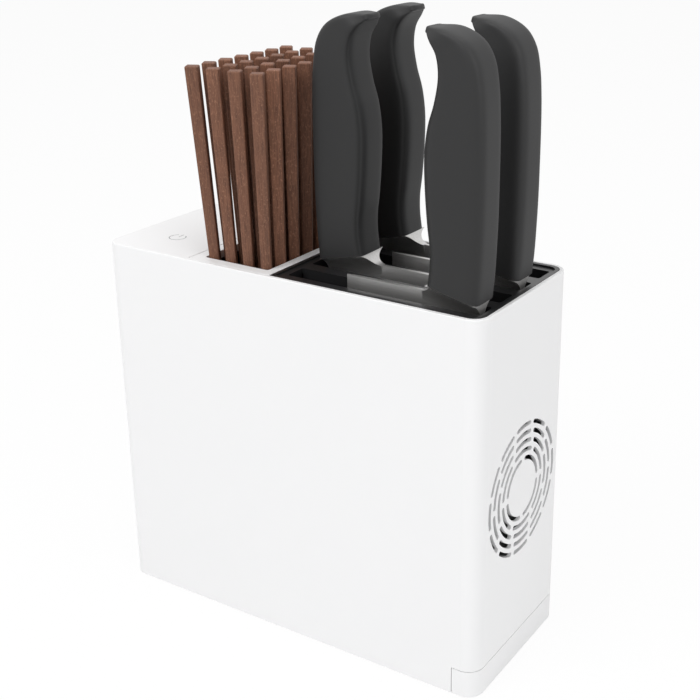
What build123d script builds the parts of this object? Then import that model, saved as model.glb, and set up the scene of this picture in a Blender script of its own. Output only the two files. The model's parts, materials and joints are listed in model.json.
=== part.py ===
from build123d import *
import math
import os

os.makedirs("parts", exist_ok=True)

# Knife and chopstick sterilizer box. Millimetres, +Z up, +X to the fan end, -Y to the front.
# The origin is under the middle of the housing, on the surface that the feet stand on.

# ---------------------------------------------------------------- driving dimensions
# Housing
length = 250.0
depth = 100.0
height = 221.0
corner_radius = 9.6
wall = 2.2
deck_thickness = 2.4
top_edge_radius = 0.7
foot_proud = 0.5

# Clearances
fit_gap = 0.3
lift_gap = 0.5
seam_gap = 0.4

# Top opening: basket rim on the left of the joint line, knife insert on the right
electronics_length = 61.5
basket_rim_length = 57.0
rim_height = 8.7
basket_margin_left = 7.0
basket_margin_right = 5.5
basket_margin_side = 6.0
rim_lip = 1.6
basket_hole_radius = 1.5
basket_corner_radius = 1.5
basket_depth = 134.0
cage_wall = 1.2
basket_slot_width = 3.4
basket_slot_share = 0.42
basket_slot_spread = 1.08
basket_slot_columns = 5
basket_slot_rows = 9
basket_slot_tiers = 2
cage_hole_radius = 1.8

# Ledge frame that carries both inserts
ledge_thickness = 4.5
crossbar_width = 6.4
lug_depth = 8.0
lug_length = 9.0
lug_width = 4.2
small_corner = 0.5

# Knife insert
insert_corner_radius = 7.6
insert_rim_wall = 2.2
deck_left_corner = 0.8
insert_deck_drop = 1.0
insert_deck_thickness = 2.4
slot_margin_left = 6.35
slot_margin_right = 4.5
slot_margin_side = 8.0
slot_width = 13.6
slot_count = 4
slot_corner = 1.4
sleeve_wall = 1.2
sleeve_depth = 8.0
knife_cage_wall = 1.4
knife_cage_corner = 1.8
knife_cage_over_fan = 2.2
knife_guide_depth = 30.0
knife_slot_width = 4.0
knife_slot_margin_x = 9.3
knife_slot_margin_y = 10.7
knife_slot_columns = 13
knife_slot_rows = 9
knife_slot_ends = 5.0
knife_hole_margin_x = 12.3
knife_hole_margin_y = 9.7
knife_hole_columns = 11
knife_hole_rows = 7
pad_thickness = 1.6

# Knives
handle_length = 133.5
handle_width = 30.0
handle_thickness = 23.0
handle_corner_share = 0.2
handle_base_width = 29.5
handle_seat_rise = 6.3
heel_rise = 4.0
left_knife_shift = 6.1
blade_length = 178.7
blade_width = 81.5
blade_thickness = 2.2
blade_edge_thickness = 0.5
blade_bevel = 8.0
blade_spine_inset = 2.0
blade_end_gap = 2.0
blade_spine_drop = 16.0
blade_tip_radius = 5.0
bolster_drop = 12.4
bolster_sweep = 7.0
bolster_thickness = 21.4
bolster_curve_share = 0.33
tang_drop = 4.0
tang_inset = 9.0
tang_length = 72.0
tang_width = 13.0
tang_thickness = 3.0

# Chopsticks
stick_columns = 4
stick_rows = 7
stick_length = 240.0
stick_head = 8.2
stick_tip = 4.4
stick_corner_share = 0.12
stick_turn = 30.0
stick_margin_x = 4.5
stick_margin_y = 4.5
stick_lean_left = -6.2
stick_lean_right = 2.6
stick_fan_y = 2.4

# Water tray and its runners
seam_z = 16.7
tray_front_length = 14.6
tray_back_gap = 8.2
tray_side_room = 7.5
tray_wall = 1.6
tray_floor_gap = 0.5
tray_lip = 2.1
tray_lip_thickness = 1.8
tray_rim_z = 15.5
runner_step = 0.3
tray_screw_spacing = 50.0

# Base pan, feet and base screws
pan_thickness = 2.0
foot_radius = 6.0
foot_pocket = 1.2
foot_inset_right = 27.0
foot_inset_left = 15.0
foot_inset_side = 16.0
screw_radius = 1.25
screw_clearance_radius = 1.5
screw_head_radius = 2.4
screw_head_height = 1.2
screw_grip = 8.0
screw_inset_side = 3.4
screw_inset_left = 13.0
screw_behind_rim = 15.5
screw_behind_front = 14.4
boss_radius = 3.8
boss_height = 16.0

# Chamber floor and divider
chamber_floor_thickness = 2.0
chamber_lip = 1.5
chamber_lip_margin = 14.2
drain_slot_share = 0.195
drain_slot_spread = 1.3
drain_slot_width = 3.0
drain_slot_pitch = 12.0
drain_slot_columns = 3
drain_slot_rows = 5
divider_behind_rim = 1.7
divider_thickness = 2.0
divider_rib = 1.6
divider_rib_depth = 3.0

# Fan and grille on the right end
fan_below_middle = 2.7
fan_side_gap = 0.4
fan_thickness = 10.0
fan_rim = 2.0
fan_screw_inset = 4.25
fan_corner_radius = 4.0
fan_boss_radius = 1.9
fan_hole_radius = 2.1
fan_screw_radius = 1.0
fan_screw_head_radius = 3.0
fan_hub_radius = 16.0
fan_hub_wall = 2.0
fan_winding_gap = 0.6
fan_root_overlap = 0.8
fan_shaft_end = 2.0
fan_shaft_start = 0.4
fan_motor_plate = 2.0
fan_blade_count = 7
fan_tip_gap = 1.0
fan_blade_thickness = 1.2
fan_blade_chord = 18.0
fan_blade_tilt = 52.0
fan_strut_thickness = 1.6
fan_strut_width = 4.0
fan_shaft_radius = 1.0
bearing_radius = 2.6
bearing_wall = 1.4
shaft_clearance = 0.05
grille_rings = 5
grille_first_radius = 17.4
grille_rim = 0.5
grille_slot = 2.6
grille_web = 3.0
grille_first_count = 4
grille_added_count = 2
grille_top_angle = 90.0

# Heater on the divider
heater_z = 42.0
heater_width = 60.0
heater_height = 24.0
heater_depth = 10.0
heater_frame_wall = 4.5
heater_bar = 2.0
heater_fin = 0.6
heater_fin_count = 22
heater_fin_margin = 2.0
heater_gap = 0.2

# Boards
board_thickness = 1.6
standoff_height = 5.0
standoff_radius = 2.5
board_screw_radius = 1.0
board_screw_head_radius = 2.0
board_screw_head_height = 1.2
control_width = 72.0
control_height = 84.0
control_hole_inset = 4.0
board_corner = 1.5
small_capacitor_radius = 5.0
small_capacitor_height = 14.0
large_capacitor_radius = 6.3
large_capacitor_height = 20.0
power_width = 64.0
power_height = 78.0
power_below_middle = 0.5
power_standoff_height = 4.6
touch_board_size = 26.0
touch_inset_left = 29.5
touch_inset_front = 28.5
touch_pad_radius = 6.5
touch_pad_height = 2.6

# Lamps
lamp_before_joint = 0.1
lamp_spacing = 44.0
lamp_radius = 2.0
lamp_cap_radius = 2.5
lamp_cap_length = 9.0
lamp_bottom_z = 46.0
lamp_socket_depth = 4.0
lamp_holder_width = 6.4
lamp_holder_length = 54.0
lamp_holder_height = 8.0
lamp_post_length = 14.0
ballast_length = 46.0
ballast_height = 18.0
ballast_depth = 11.0

# Power inlet and air vents on the back wall, behind the left deck
inlet_inset_left = 30.0
inlet_z = 17.0
inlet_width = 20.0
inlet_height = 12.0
inlet_depth = 21.0
inlet_flange = 2.4
inlet_flange_thickness = 1.6
inlet_corner = 1.8
socket_width = 17.0
socket_height = 8.4
socket_depth = 11.0
pin_spacing = 8.6
pin_radius = 1.2
pin_length = 9.0
pin_tail = 4.0
vent_count = 7
vent_pitch = 5.0
vent_width = 2.6
vent_height = 30.0
vent_z = 46.0

# ---------------------------------------------------------------- worked-out sizes
half_length = length / 2
half_depth = depth / 2
inner_x = half_length - wall
inner_y = half_depth - wall
inner_radius = corner_radius - wall
deck_z = height - deck_thickness
pan_top = foot_proud + pan_thickness
basket_rim_x0 = electronics_length - half_length
joint_x = basket_rim_x0 + basket_rim_length
opening_x0 = basket_rim_x0 - fit_gap

rim_bottom = height - rim_height
ledge_top = rim_bottom - fit_gap
ledge_bottom = ledge_top - ledge_thickness
rim_half_y = inner_y - fit_gap
basket_rim_x1 = joint_x - fit_gap / 2
insert_x0 = joint_x + fit_gap / 2
insert_x1 = inner_x - fit_gap
basket_x0 = basket_rim_x0 + basket_margin_left
basket_x1 = joint_x - basket_margin_right
basket_half_y = rim_half_y - basket_margin_side
basket_floor_z = height - basket_depth
crossbar_x0 = joint_x - crossbar_width / 2
crossbar_x1 = joint_x + crossbar_width / 2

insert_deck_top = height - insert_deck_drop
insert_deck_bottom = insert_deck_top - insert_deck_thickness
slot_x0 = insert_x0 + slot_margin_left
slot_x1 = insert_x1 - slot_margin_right
slot_pitch = (2 * (inner_y - slot_margin_side) - slot_width) / (slot_count - 1)
slot_middle_x = (slot_x0 + slot_x1) / 2
slot_length = slot_x1 - slot_x0
slot_rows = [(row - (slot_count - 1) / 2) * slot_pitch for row in range(slot_count)]
sleeve_half = slot_width / 2 + sleeve_wall
fan_z = height / 2 - fan_below_middle
fan_size = 2 * (inner_y - inner_radius - fan_side_gap)
fan_bore_radius = fan_size / 2 - fan_rim
fan_screw_spacing = fan_size - 2 * fan_screw_inset
grille_pitch = (fan_bore_radius - grille_rim - grille_first_radius) / (grille_rings - 1)
fan_x0 = inner_x - fan_thickness
cage_x0 = crossbar_x1 + lift_gap
cage_x1 = slot_x1 + knife_cage_wall + fit_gap
cage_low_x1 = fan_x0 - 2 * lift_gap
cage_half_y = slot_rows[-1] + sleeve_half + fit_gap + knife_cage_wall
heel_z = height + heel_rise
pad_top = heel_z - blade_length - fit_gap
knife_cage_floor_z = pad_top - pad_thickness - knife_cage_wall
knife_cage_step_z = fan_z + fan_size / 2 + knife_cage_over_fan
handle_spine_x = slot_x1 - blade_end_gap + blade_spine_inset
left_spine_x = slot_x0 + blade_end_gap - blade_spine_inset + left_knife_shift

tray_front_x = half_length - tray_front_length
tray_half_width = inner_y - tray_side_room
tray_z0 = pan_top + tray_floor_gap
lip_bottom = tray_rim_z - tray_lip_thickness
runner_y0 = tray_half_width + 2 * fit_gap
runner_y1 = inner_y - fit_gap
runner_step_y = tray_half_width + tray_lip + fit_gap
runner_z = lip_bottom - runner_step
chamber_z0 = seam_z + seam_gap / 2 + fit_gap
chamber_z1 = chamber_z0 + chamber_floor_thickness
divider_x = basket_rim_x0 - divider_behind_rim
chamber_x0 = divider_x + divider_thickness / 2
divider_x0 = divider_x - divider_thickness / 2
tray_back_x = chamber_x0 + tray_back_gap
tray_screw_z = (tray_z0 + tray_rim_z) / 2

screw_y = inner_y - screw_inset_side
screw_left_x = screw_inset_left - half_length
screw_middle_x = basket_rim_x0 + screw_behind_rim
screw_right_x = tray_front_x - screw_behind_front
foot_x = half_length - foot_inset_right
foot_left_x = foot_inset_left - half_length
foot_y = half_depth - foot_inset_side
touch_x = touch_inset_left - half_length
touch_y = touch_inset_front - half_depth
inlet_x = inlet_inset_left - half_length
lamp_x = joint_x - lamp_before_joint
heater_top_z = heater_z + heater_height / 2 + heater_frame_wall
control_z = (heater_top_z + deck_z) / 2
ballast_z = (heater_top_z + control_z - control_height / 2) / 2
power_z = height / 2 - power_below_middle


def rounded_right(x0, x1, half_y, right_radius, left_radius):
    """Draws a rectangle with one radius at its two right corners and another at its two left ones."""
    with BuildSketch(mode=Mode.PRIVATE) as outline:
        with Locations(((x0 + x1) / 2, 0)):
            Rectangle(x1 - x0, 2 * half_y)
        fillet(outline.vertices().group_by(Axis.X)[-1], right_radius)
        fillet(outline.vertices().group_by(Axis.X)[0], left_radius)
    return outline.sketch


def grille_edges():
    """Centre lines of the grille's arc slots: ring after ring, two more arcs in each than in the last."""
    edges = []
    for ring in range(grille_rings):
        radius = grille_first_radius + ring * grille_pitch
        count = grille_first_count + grille_added_count * ring
        step = 360 / count
        span = step - math.degrees((grille_web + grille_slot) / radius)
        first_middle = grille_top_angle + (step / 2 if ring == 0 else 0)
        for arc in range(count):
            start = first_middle + arc * step - span / 2
            edges.append(CenterArc((0, 0), radius, start, span))
    return edges


basket_opening = rounded_right(opening_x0, inner_x, inner_y, inner_radius, basket_corner_radius)
grille_lines = grille_edges()
back_face = Plane.XZ.offset(-half_depth)
short_screw_points = [(screw_left_x, -screw_y), (screw_left_x, screw_y)]
long_screw_points = [(x, y) for x in (screw_middle_x, screw_right_x) for y in (-screw_y, screw_y)]
foot_points = [(x, y) for x in (foot_left_x, foot_x) for y in (-foot_y, foot_y)]
lug_xs = ((basket_x0 + basket_x1) / 2, slot_middle_x)
lug_y = inner_y - lug_width / 2
lug_points = [(x, y) for x in lug_xs for y in (-lug_y, lug_y)]

# ---------------------------------------------------------------- housing
with BuildPart() as housing:
    with BuildSketch(Plane.XY.offset(foot_proud)):
        RectangleRounded(length, depth, corner_radius)
    extrude(amount=height - foot_proud)
    fillet(housing.faces().sort_by(Axis.Z)[-1].edges(), top_edge_radius)
    # Hollow inside, and the top opening for the two inserts
    with BuildSketch(Plane.XY.offset(foot_proud)):
        RectangleRounded(2 * inner_x, 2 * inner_y, inner_radius)
    extrude(amount=deck_z - foot_proud, mode=Mode.SUBTRACT)
    with BuildSketch(Plane.XY.offset(deck_z)):
        add(basket_opening)
    extrude(amount=deck_thickness, mode=Mode.SUBTRACT)
    # The foot of the right end belongs to the water tray's front
    with BuildSketch(Plane.XY.offset(foot_proud)):
        with Locations((tray_front_x - seam_gap, 0)):
            Rectangle(length, 2 * depth, align=(Align.MIN, Align.CENTER))
    extrude(amount=seam_z + seam_gap / 2 - foot_proud, mode=Mode.SUBTRACT)
    # Ribs that hold the divider
    with BuildSketch(Plane.XY.offset(chamber_z1)):
        for rib_x in (divider_x0 - divider_rib / 2, chamber_x0 + divider_rib / 2):
            for side in (-1, 1):
                with Locations((rib_x, side * (inner_y - divider_rib_depth / 2 + wall / 4))):
                    Rectangle(divider_rib, divider_rib_depth + wall / 2)
    extrude(amount=ledge_bottom - fit_gap - chamber_z1)
    # Screw bosses: short ones for the base pan, and ones above the chamber floor
    with BuildSketch(Plane.XY.offset(pan_top)):
        with Locations(*short_screw_points):
            Circle(boss_radius)
    extrude(amount=boss_height)
    with BuildSketch(Plane.XY.offset(chamber_z1)):
        with Locations(*long_screw_points):
            Circle(boss_radius)
    extrude(amount=boss_height)
    # Lugs that the ledge frame is screwed to
    with BuildSketch(Plane.XY.offset(ledge_bottom - lug_depth)):
        for x in lug_xs:
            for side in (-1, 1):
                with Locations((x, side * (lug_y + wall / 4))):
                    Rectangle(lug_length, lug_width + wall / 2)
    extrude(amount=lug_depth)
    # Fan bosses on the right wall and board standoffs on the left wall
    with BuildSketch(Plane.YZ.offset(fan_x0 + screw_head_height)):
        with Locations((0, fan_z)):
            with GridLocations(fan_screw_spacing, fan_screw_spacing, 2, 2):
                Circle(fan_boss_radius)
    extrude(amount=fan_thickness - screw_head_height + wall / 2)
    with BuildSketch(Plane.YZ.offset(-inner_x - wall / 2)):
        with Locations((0, power_z)):
            with GridLocations(power_width - 2 * control_hole_inset, power_height - 2 * control_hole_inset, 2, 2):
                Circle(standoff_radius)
    extrude(amount=power_standoff_height + wall / 2)
    # Pilot holes for every screw that bites into the housing
    with BuildSketch(Plane.XY.offset(pan_top)):
        with Locations(*short_screw_points):
            Circle(screw_radius)
    extrude(amount=screw_grip, mode=Mode.SUBTRACT)
    with BuildSketch(Plane.XY.offset(chamber_z1)):
        with Locations(*long_screw_points):
            Circle(screw_radius)
    extrude(amount=screw_grip, mode=Mode.SUBTRACT)
    with BuildSketch(Plane.XY.offset(ledge_bottom)):
        with Locations(*lug_points):
            Circle(board_screw_radius)
    extrude(amount=-lug_depth / 2, mode=Mode.SUBTRACT)
    with BuildSketch(Plane.YZ.offset(fan_x0 + screw_head_height)):
        with Locations((0, fan_z)):
            with GridLocations(fan_screw_spacing, fan_screw_spacing, 2, 2):
                Circle(fan_screw_radius)
    extrude(amount=fan_thickness / 2, mode=Mode.SUBTRACT)
    with BuildSketch(Plane.YZ.offset(power_standoff_height - inner_x)):
        with Locations((0, power_z)):
            with GridLocations(power_width - 2 * control_hole_inset, power_height - 2 * control_hole_inset, 2, 2):
                Circle(board_screw_radius)
    extrude(amount=-power_standoff_height, mode=Mode.SUBTRACT)
    # Grille of arc slots on the right end
    with BuildSketch(Plane.YZ.offset(inner_x)):
        with Locations((0, fan_z)):
            for line in grille_lines:
                SlotArc(line, grille_slot)
    extrude(amount=wall, mode=Mode.SUBTRACT)
    # Air vents and the power inlet's hole in the back wall
    with BuildSketch(back_face):
        with Locations((inlet_x, vent_z)):
            with GridLocations(vent_pitch, vent_pitch, vent_count, 1):
                SlotOverall(vent_height, vent_width, rotation=90)
        with Locations((inlet_x, inlet_z)):
            RectangleRounded(inlet_width + fit_gap, inlet_height + fit_gap, inlet_corner + fit_gap / 2)
    extrude(amount=wall, mode=Mode.SUBTRACT)
housing.part.label = "housing"
export_step(housing.part, "parts/housing.step")

# ---------------------------------------------------------------- base pan, feet, base screws
pan_x0 = -(inner_x - fit_gap)
pan_x1 = tray_front_x - seam_gap - fit_gap
with BuildPart() as base_pan:
    with BuildSketch(Plane.XY.offset(foot_proud)) as pan_outline:
        with Locations(((pan_x0 + pan_x1) / 2, 0)):
            Rectangle(pan_x1 - pan_x0, 2 * runner_y1)
        fillet(pan_outline.vertices().group_by(Axis.X)[0], inner_radius - fit_gap)
    extrude(amount=pan_thickness)
    with BuildSketch(Plane.XY.offset(foot_proud)):
        with Locations(*foot_points):
            Circle(foot_radius)
    extrude(amount=foot_pocket, mode=Mode.SUBTRACT)
    with BuildSketch(Plane.XY.offset(foot_proud)):
        with Locations(*short_screw_points, *long_screw_points):
            Circle(screw_clearance_radius)
    extrude(amount=pan_thickness, mode=Mode.SUBTRACT)
    with BuildSketch(Plane.XY.offset(foot_proud)):
        with Locations(*short_screw_points, *long_screw_points):
            Circle(screw_head_radius + fit_gap / 2)
    extrude(amount=screw_head_height, mode=Mode.SUBTRACT)
base_pan.part.label = "base_pan"
export_step(base_pan.part, "parts/base_pan.step")

with BuildPart() as feet:
    with BuildSketch():
        with Locations(*foot_points):
            Circle(foot_radius)
    extrude(amount=foot_proud + foot_pocket)
    fillet(feet.faces().group_by(Axis.Z)[0].edges(), foot_proud / 2)
feet.part.label = "feet"
export_step(feet.part, "parts/feet.step")


def upright_screws(points, head_z, shank_top):
    """Pan-head screws whose heads start at head_z, pointing up."""
    with BuildPart() as screws:
        with BuildSketch(Plane.XY.offset(head_z)):
            with Locations(*points):
                Circle(screw_head_radius)
        extrude(amount=screw_head_height)
        with BuildSketch(Plane.XY.offset(head_z)):
            with Locations(*points):
                Circle(screw_radius)
        extrude(amount=shank_top - head_z)
    return screws


base_screws = upright_screws(short_screw_points, foot_proud, pan_top + screw_grip)
base_screws.part.label = "base_screws"
export_step(base_screws.part, "parts/base_screws.step")

chassis_screws = upright_screws(long_screw_points, foot_proud, chamber_z1 + screw_grip)
chassis_screws.part.label = "chassis_screws"
export_step(chassis_screws.part, "parts/chassis_screws.step")

# ---------------------------------------------------------------- water tray and its runners
runner_x1 = pan_x1 - pan_thickness
for name, side in (("front_runner", -1), ("back_runner", 1)):
    with BuildPart() as runner:
        with BuildSketch(Plane.XY.offset(pan_top)):
            with Locations(((tray_back_x + runner_x1) / 2, side * (runner_y0 + runner_y1) / 2)):
                Rectangle(runner_x1 - tray_back_x, runner_y1 - runner_y0)
        extrude(amount=chamber_z0 - pan_top)
        with BuildSketch(Plane.XY.offset(runner_z)):
            with Locations(((tray_back_x + runner_x1) / 2, side * (runner_y0 + runner_step_y) / 2)):
                Rectangle(runner_x1 - tray_back_x, runner_step_y - runner_y0)
        extrude(amount=chamber_z0 - runner_z, mode=Mode.SUBTRACT)
        with BuildSketch(Plane.XY.offset(pan_top)):
            with Locations(*[point for point in long_screw_points if point[1] * side > 0]):
                Circle(screw_clearance_radius)
        extrude(amount=chamber_z0 - pan_top, mode=Mode.SUBTRACT)
    runner.part.label = name
    export_step(runner.part, f"parts/{name}.step")

with BuildPart() as water_tray:
    with BuildSketch(Plane.XY.offset(tray_z0)) as tray_outline:
        with Locations(((tray_back_x + tray_front_x) / 2, 0)):
            Rectangle(tray_front_x - tray_back_x, 2 * tray_half_width)
        fillet(tray_outline.vertices().group_by(Axis.X)[0], 3 * tray_wall)
    extrude(amount=tray_rim_z - tray_z0)
    with BuildSketch(Plane.XY.offset(lip_bottom)):
        with Locations(((tray_back_x + runner_x1) / 2, 0)):
            Rectangle(runner_x1 - tray_back_x - 6 * tray_wall, 2 * (tray_half_width + tray_lip))
    extrude(amount=tray_lip_thickness)
    with BuildSketch(Plane.XY.offset(tray_z0 + tray_wall)) as tray_hollow:
        with Locations(((tray_back_x + tray_front_x) / 2, 0)):
            Rectangle(tray_front_x - tray_back_x - 2 * tray_wall, 2 * (tray_half_width - tray_wall))
        fillet(tray_hollow.vertices(), 2 * tray_wall)
    extrude(amount=tray_rim_z - tray_z0, mode=Mode.SUBTRACT)
    with BuildSketch(Plane.YZ.offset(tray_front_x)):
        with Locations((-tray_screw_spacing / 2, tray_screw_z), (tray_screw_spacing / 2, tray_screw_z)):
            Circle(screw_clearance_radius)
    extrude(amount=-2 * tray_wall, mode=Mode.SUBTRACT)
water_tray.part.label = "water_tray"
export_step(water_tray.part, "parts/water_tray.step")

# Wrap-round front of the water tray: the foot of the housing's right end
tray_front_top = seam_z - seam_gap / 2
tray_front_bottom = foot_proud
with BuildPart() as tray_front:
    with BuildSketch(Plane.XY.offset(tray_front_bottom)) as front_outline:
        RectangleRounded(length, depth, corner_radius)
        with Locations((tray_front_x, 0)):
            Rectangle(2 * length, 2 * depth, align=(Align.MAX, Align.CENTER), mode=Mode.SUBTRACT)
    extrude(amount=tray_front_top - tray_front_bottom)
    with BuildSketch(Plane.XY.offset(tray_front_bottom + wall)) as front_hollow:
        RectangleRounded(2 * inner_x, 2 * inner_y, inner_radius)
        with Locations((tray_front_x, 0)):
            Rectangle(2 * length, 2 * depth, align=(Align.MAX, Align.CENTER), mode=Mode.SUBTRACT)
    extrude(amount=tray_front_top - tray_front_bottom - 2 * wall, mode=Mode.SUBTRACT)
    with BuildSketch(Plane.YZ.offset(tray_front_x)):
        with Locations((-tray_screw_spacing / 2, tray_screw_z), (tray_screw_spacing / 2, tray_screw_z)):
            Circle(boss_radius)
    extrude(amount=inner_x - tray_front_x + wall / 2)
    with BuildSketch(Plane.YZ.offset(tray_front_x)):
        with Locations((-tray_screw_spacing / 2, tray_screw_z), (tray_screw_spacing / 2, tray_screw_z)):
            Circle(screw_radius)
    extrude(amount=screw_grip, mode=Mode.SUBTRACT)
tray_front.part.label = "tray_front"
export_step(tray_front.part, "parts/tray_front.step")

with BuildPart() as tray_screws:
    with BuildSketch(Plane.YZ.offset(tray_front_x - tray_wall - screw_head_height)):
        with Locations((-tray_screw_spacing / 2, tray_screw_z), (tray_screw_spacing / 2, tray_screw_z)):
            Circle(screw_head_radius)
    extrude(amount=screw_head_height)
    with BuildSketch(Plane.YZ.offset(tray_front_x - tray_wall - screw_head_height)):
        with Locations((-tray_screw_spacing / 2, tray_screw_z), (tray_screw_spacing / 2, tray_screw_z)):
            Circle(screw_radius)
    extrude(amount=screw_head_height + tray_wall + screw_grip)
tray_screws.part.label = "tray_screws"
export_step(tray_screws.part, "parts/tray_screws.step")

# ---------------------------------------------------------------- chamber floor and divider
chamber_x1 = inner_x - fit_gap
drain_middle_x = (chamber_x0 + tray_front_x) / 2
drain_slot_length = drain_slot_share * (tray_front_x - chamber_x0)
chamber_lip_length = tray_front_x - chamber_x0 - 2 * chamber_lip_margin
with BuildPart() as chamber_floor:
    floor_plan = rounded_right(chamber_x0, chamber_x1, runner_y1, inner_radius - fit_gap, small_corner)
    with BuildSketch(Plane.XY.offset(chamber_z0)):
        add(floor_plan)
    extrude(amount=chamber_floor_thickness)
    with BuildSketch(Plane.XY.offset(chamber_z1)):
        with Locations((drain_middle_x, 0)):
            Rectangle(chamber_lip_length, 2 * tray_half_width - 2 * tray_wall)
            Rectangle(
                chamber_lip_length - 2 * tray_wall, 2 * tray_half_width - 4 * tray_wall, mode=Mode.SUBTRACT
            )
    extrude(amount=chamber_lip)
    with BuildSketch(Plane.XY.offset(chamber_z0)):
        with Locations((drain_middle_x, 0)):
            with GridLocations(
                drain_slot_spread * drain_slot_length, drain_slot_pitch, drain_slot_columns, drain_slot_rows
            ):
                SlotOverall(drain_slot_length, drain_slot_width)
        with Locations(*long_screw_points):
            Circle(screw_clearance_radius)
    extrude(amount=chamber_floor_thickness, mode=Mode.SUBTRACT)
chamber_floor.part.label = "chamber_floor"
export_step(chamber_floor.part, "parts/chamber_floor.step")

heater_frame_width = heater_width + 2 * heater_frame_wall
heater_frame_height = heater_height + 2 * heater_frame_wall
heater_screw_y = (heater_width + heater_frame_wall) / 2
heater_screw_dz = (heater_height + heater_frame_wall) / 2
control_spacing_y = control_width - 2 * control_hole_inset
control_spacing_z = control_height - 2 * control_hole_inset
with BuildPart() as divider:
    with BuildSketch(Plane.YZ.offset(divider_x0)):
        with Locations((0, (pan_top + deck_z) / 2)):
            Rectangle(2 * runner_y1, deck_z - pan_top)
        with Locations((0, heater_z)):
            Rectangle(heater_width, heater_height, mode=Mode.SUBTRACT)
    extrude(amount=divider_thickness)
    with BuildSketch(Plane.YZ.offset(divider_x0)):
        with Locations((0, control_z)):
            with GridLocations(control_spacing_y, control_spacing_z, 2, 2):
                Circle(standoff_radius)
    extrude(amount=-standoff_height)
    with BuildSketch(Plane.YZ.offset(divider_x0 - standoff_height)):
        with Locations((0, control_z)):
            with GridLocations(control_spacing_y, control_spacing_z, 2, 2):
                Circle(board_screw_radius)
    extrude(amount=standoff_height, mode=Mode.SUBTRACT)
    with BuildSketch(Plane.YZ.offset(divider_x0)):
        with Locations((0, heater_z)):
            with GridLocations(2 * heater_screw_y, 2 * heater_screw_dz, 2, 2):
                Circle(board_screw_radius)
    extrude(amount=divider_thickness, mode=Mode.SUBTRACT)
divider.part.label = "divider"
export_step(divider.part, "parts/divider.step")

# ---------------------------------------------------------------- ledge frame under both inserts
with BuildPart() as ledge_frame:
    with BuildSketch(Plane.XY.offset(ledge_bottom)):
        add(rounded_right(chamber_x0 + fit_gap, chamber_x1, runner_y1, inner_radius - fit_gap, small_corner))
        with BuildSketch(mode=Mode.PRIVATE) as holes:
            left_hole_x0 = basket_x0 - cage_wall - 2 * lift_gap
            left_hole_x1 = crossbar_x0
            with Locations(((left_hole_x0 + left_hole_x1) / 2, 0)):
                Rectangle(left_hole_x1 - left_hole_x0, 2 * (lug_y - lug_width / 2 - fit_gap / 2))
            right_hole_x1 = cage_x1 + lift_gap
            with Locations(((crossbar_x1 + right_hole_x1) / 2, 0)):
                Rectangle(right_hole_x1 - crossbar_x1, 2 * (lug_y - lug_width / 2 - fit_gap / 2))
        add(holes.sketch, mode=Mode.SUBTRACT)
        with Locations(*lug_points):
            Circle(board_screw_radius + fit_gap / 2, mode=Mode.SUBTRACT)
    extrude(amount=ledge_thickness)
    with BuildSketch(Plane.XY.offset(ledge_top)):
        with Locations(*lug_points):
            Circle(board_screw_head_radius)
    extrude(amount=-board_screw_head_height, mode=Mode.SUBTRACT)
ledge_frame.part.label = "ledge_frame"
export_step(ledge_frame.part, "parts/ledge_frame.step")

with BuildPart() as ledge_screws:
    with BuildSketch(Plane.XY.offset(ledge_top)):
        with Locations(*lug_points):
            Circle(board_screw_head_radius)
    extrude(amount=-board_screw_head_height)
    with BuildSketch(Plane.XY.offset(ledge_top)):
        with Locations(*lug_points):
            Circle(board_screw_radius)
    extrude(amount=-ledge_thickness - lug_depth / 2)
ledge_screws.part.label = "ledge_screws"
export_step(ledge_screws.part, "parts/ledge_screws.step")

# ---------------------------------------------------------------- chopstick basket
basket_middle_x = (basket_x0 + basket_x1) / 2
basket_size_x = basket_x1 - basket_x0
basket_size_y = 2 * basket_half_y
lip_bottom_z = height - rim_height / 2
with BuildPart() as basket_rim:
    with BuildSketch(Plane.XY.offset(rim_bottom)) as rim_outline:
        with Locations(((basket_rim_x0 + basket_rim_x1) / 2, 0)):
            RectangleRounded(basket_rim_x1 - basket_rim_x0, 2 * rim_half_y, basket_corner_radius - fit_gap)
    extrude(amount=rim_height)
    fillet(basket_rim.faces().sort_by(Axis.Z)[-1].edges(), top_edge_radius / 2)
    with BuildSketch(Plane.XY.offset(rim_bottom)):
        with Locations((basket_middle_x, 0)):
            RectangleRounded(basket_size_x, basket_size_y, basket_hole_radius)
    extrude(amount=rim_height, mode=Mode.SUBTRACT)
    # Hollow underside between the outer skirt and the inner lip
    with BuildSketch(Plane.XY.offset(rim_bottom)):
        with Locations(((basket_rim_x0 + basket_rim_x1) / 2, 0)):
            Rectangle(basket_rim_x1 - basket_rim_x0 - 2 * rim_lip, 2 * (rim_half_y - rim_lip))
        with Locations((basket_middle_x, 0)):
            Rectangle(basket_size_x + 2 * rim_lip, basket_size_y + 2 * rim_lip, mode=Mode.SUBTRACT)
    extrude(amount=rim_height - deck_thickness, mode=Mode.SUBTRACT)
    with BuildSketch(Plane.XY.offset(rim_bottom)):
        with Locations((basket_middle_x, 0)):
            Rectangle(basket_size_x + 2 * rim_lip, basket_size_y + 2 * rim_lip)
    extrude(amount=lip_bottom_z - rim_bottom, mode=Mode.SUBTRACT)
basket_rim.part.label = "basket_rim"
export_step(basket_rim.part, "parts/basket_rim.step")

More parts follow.
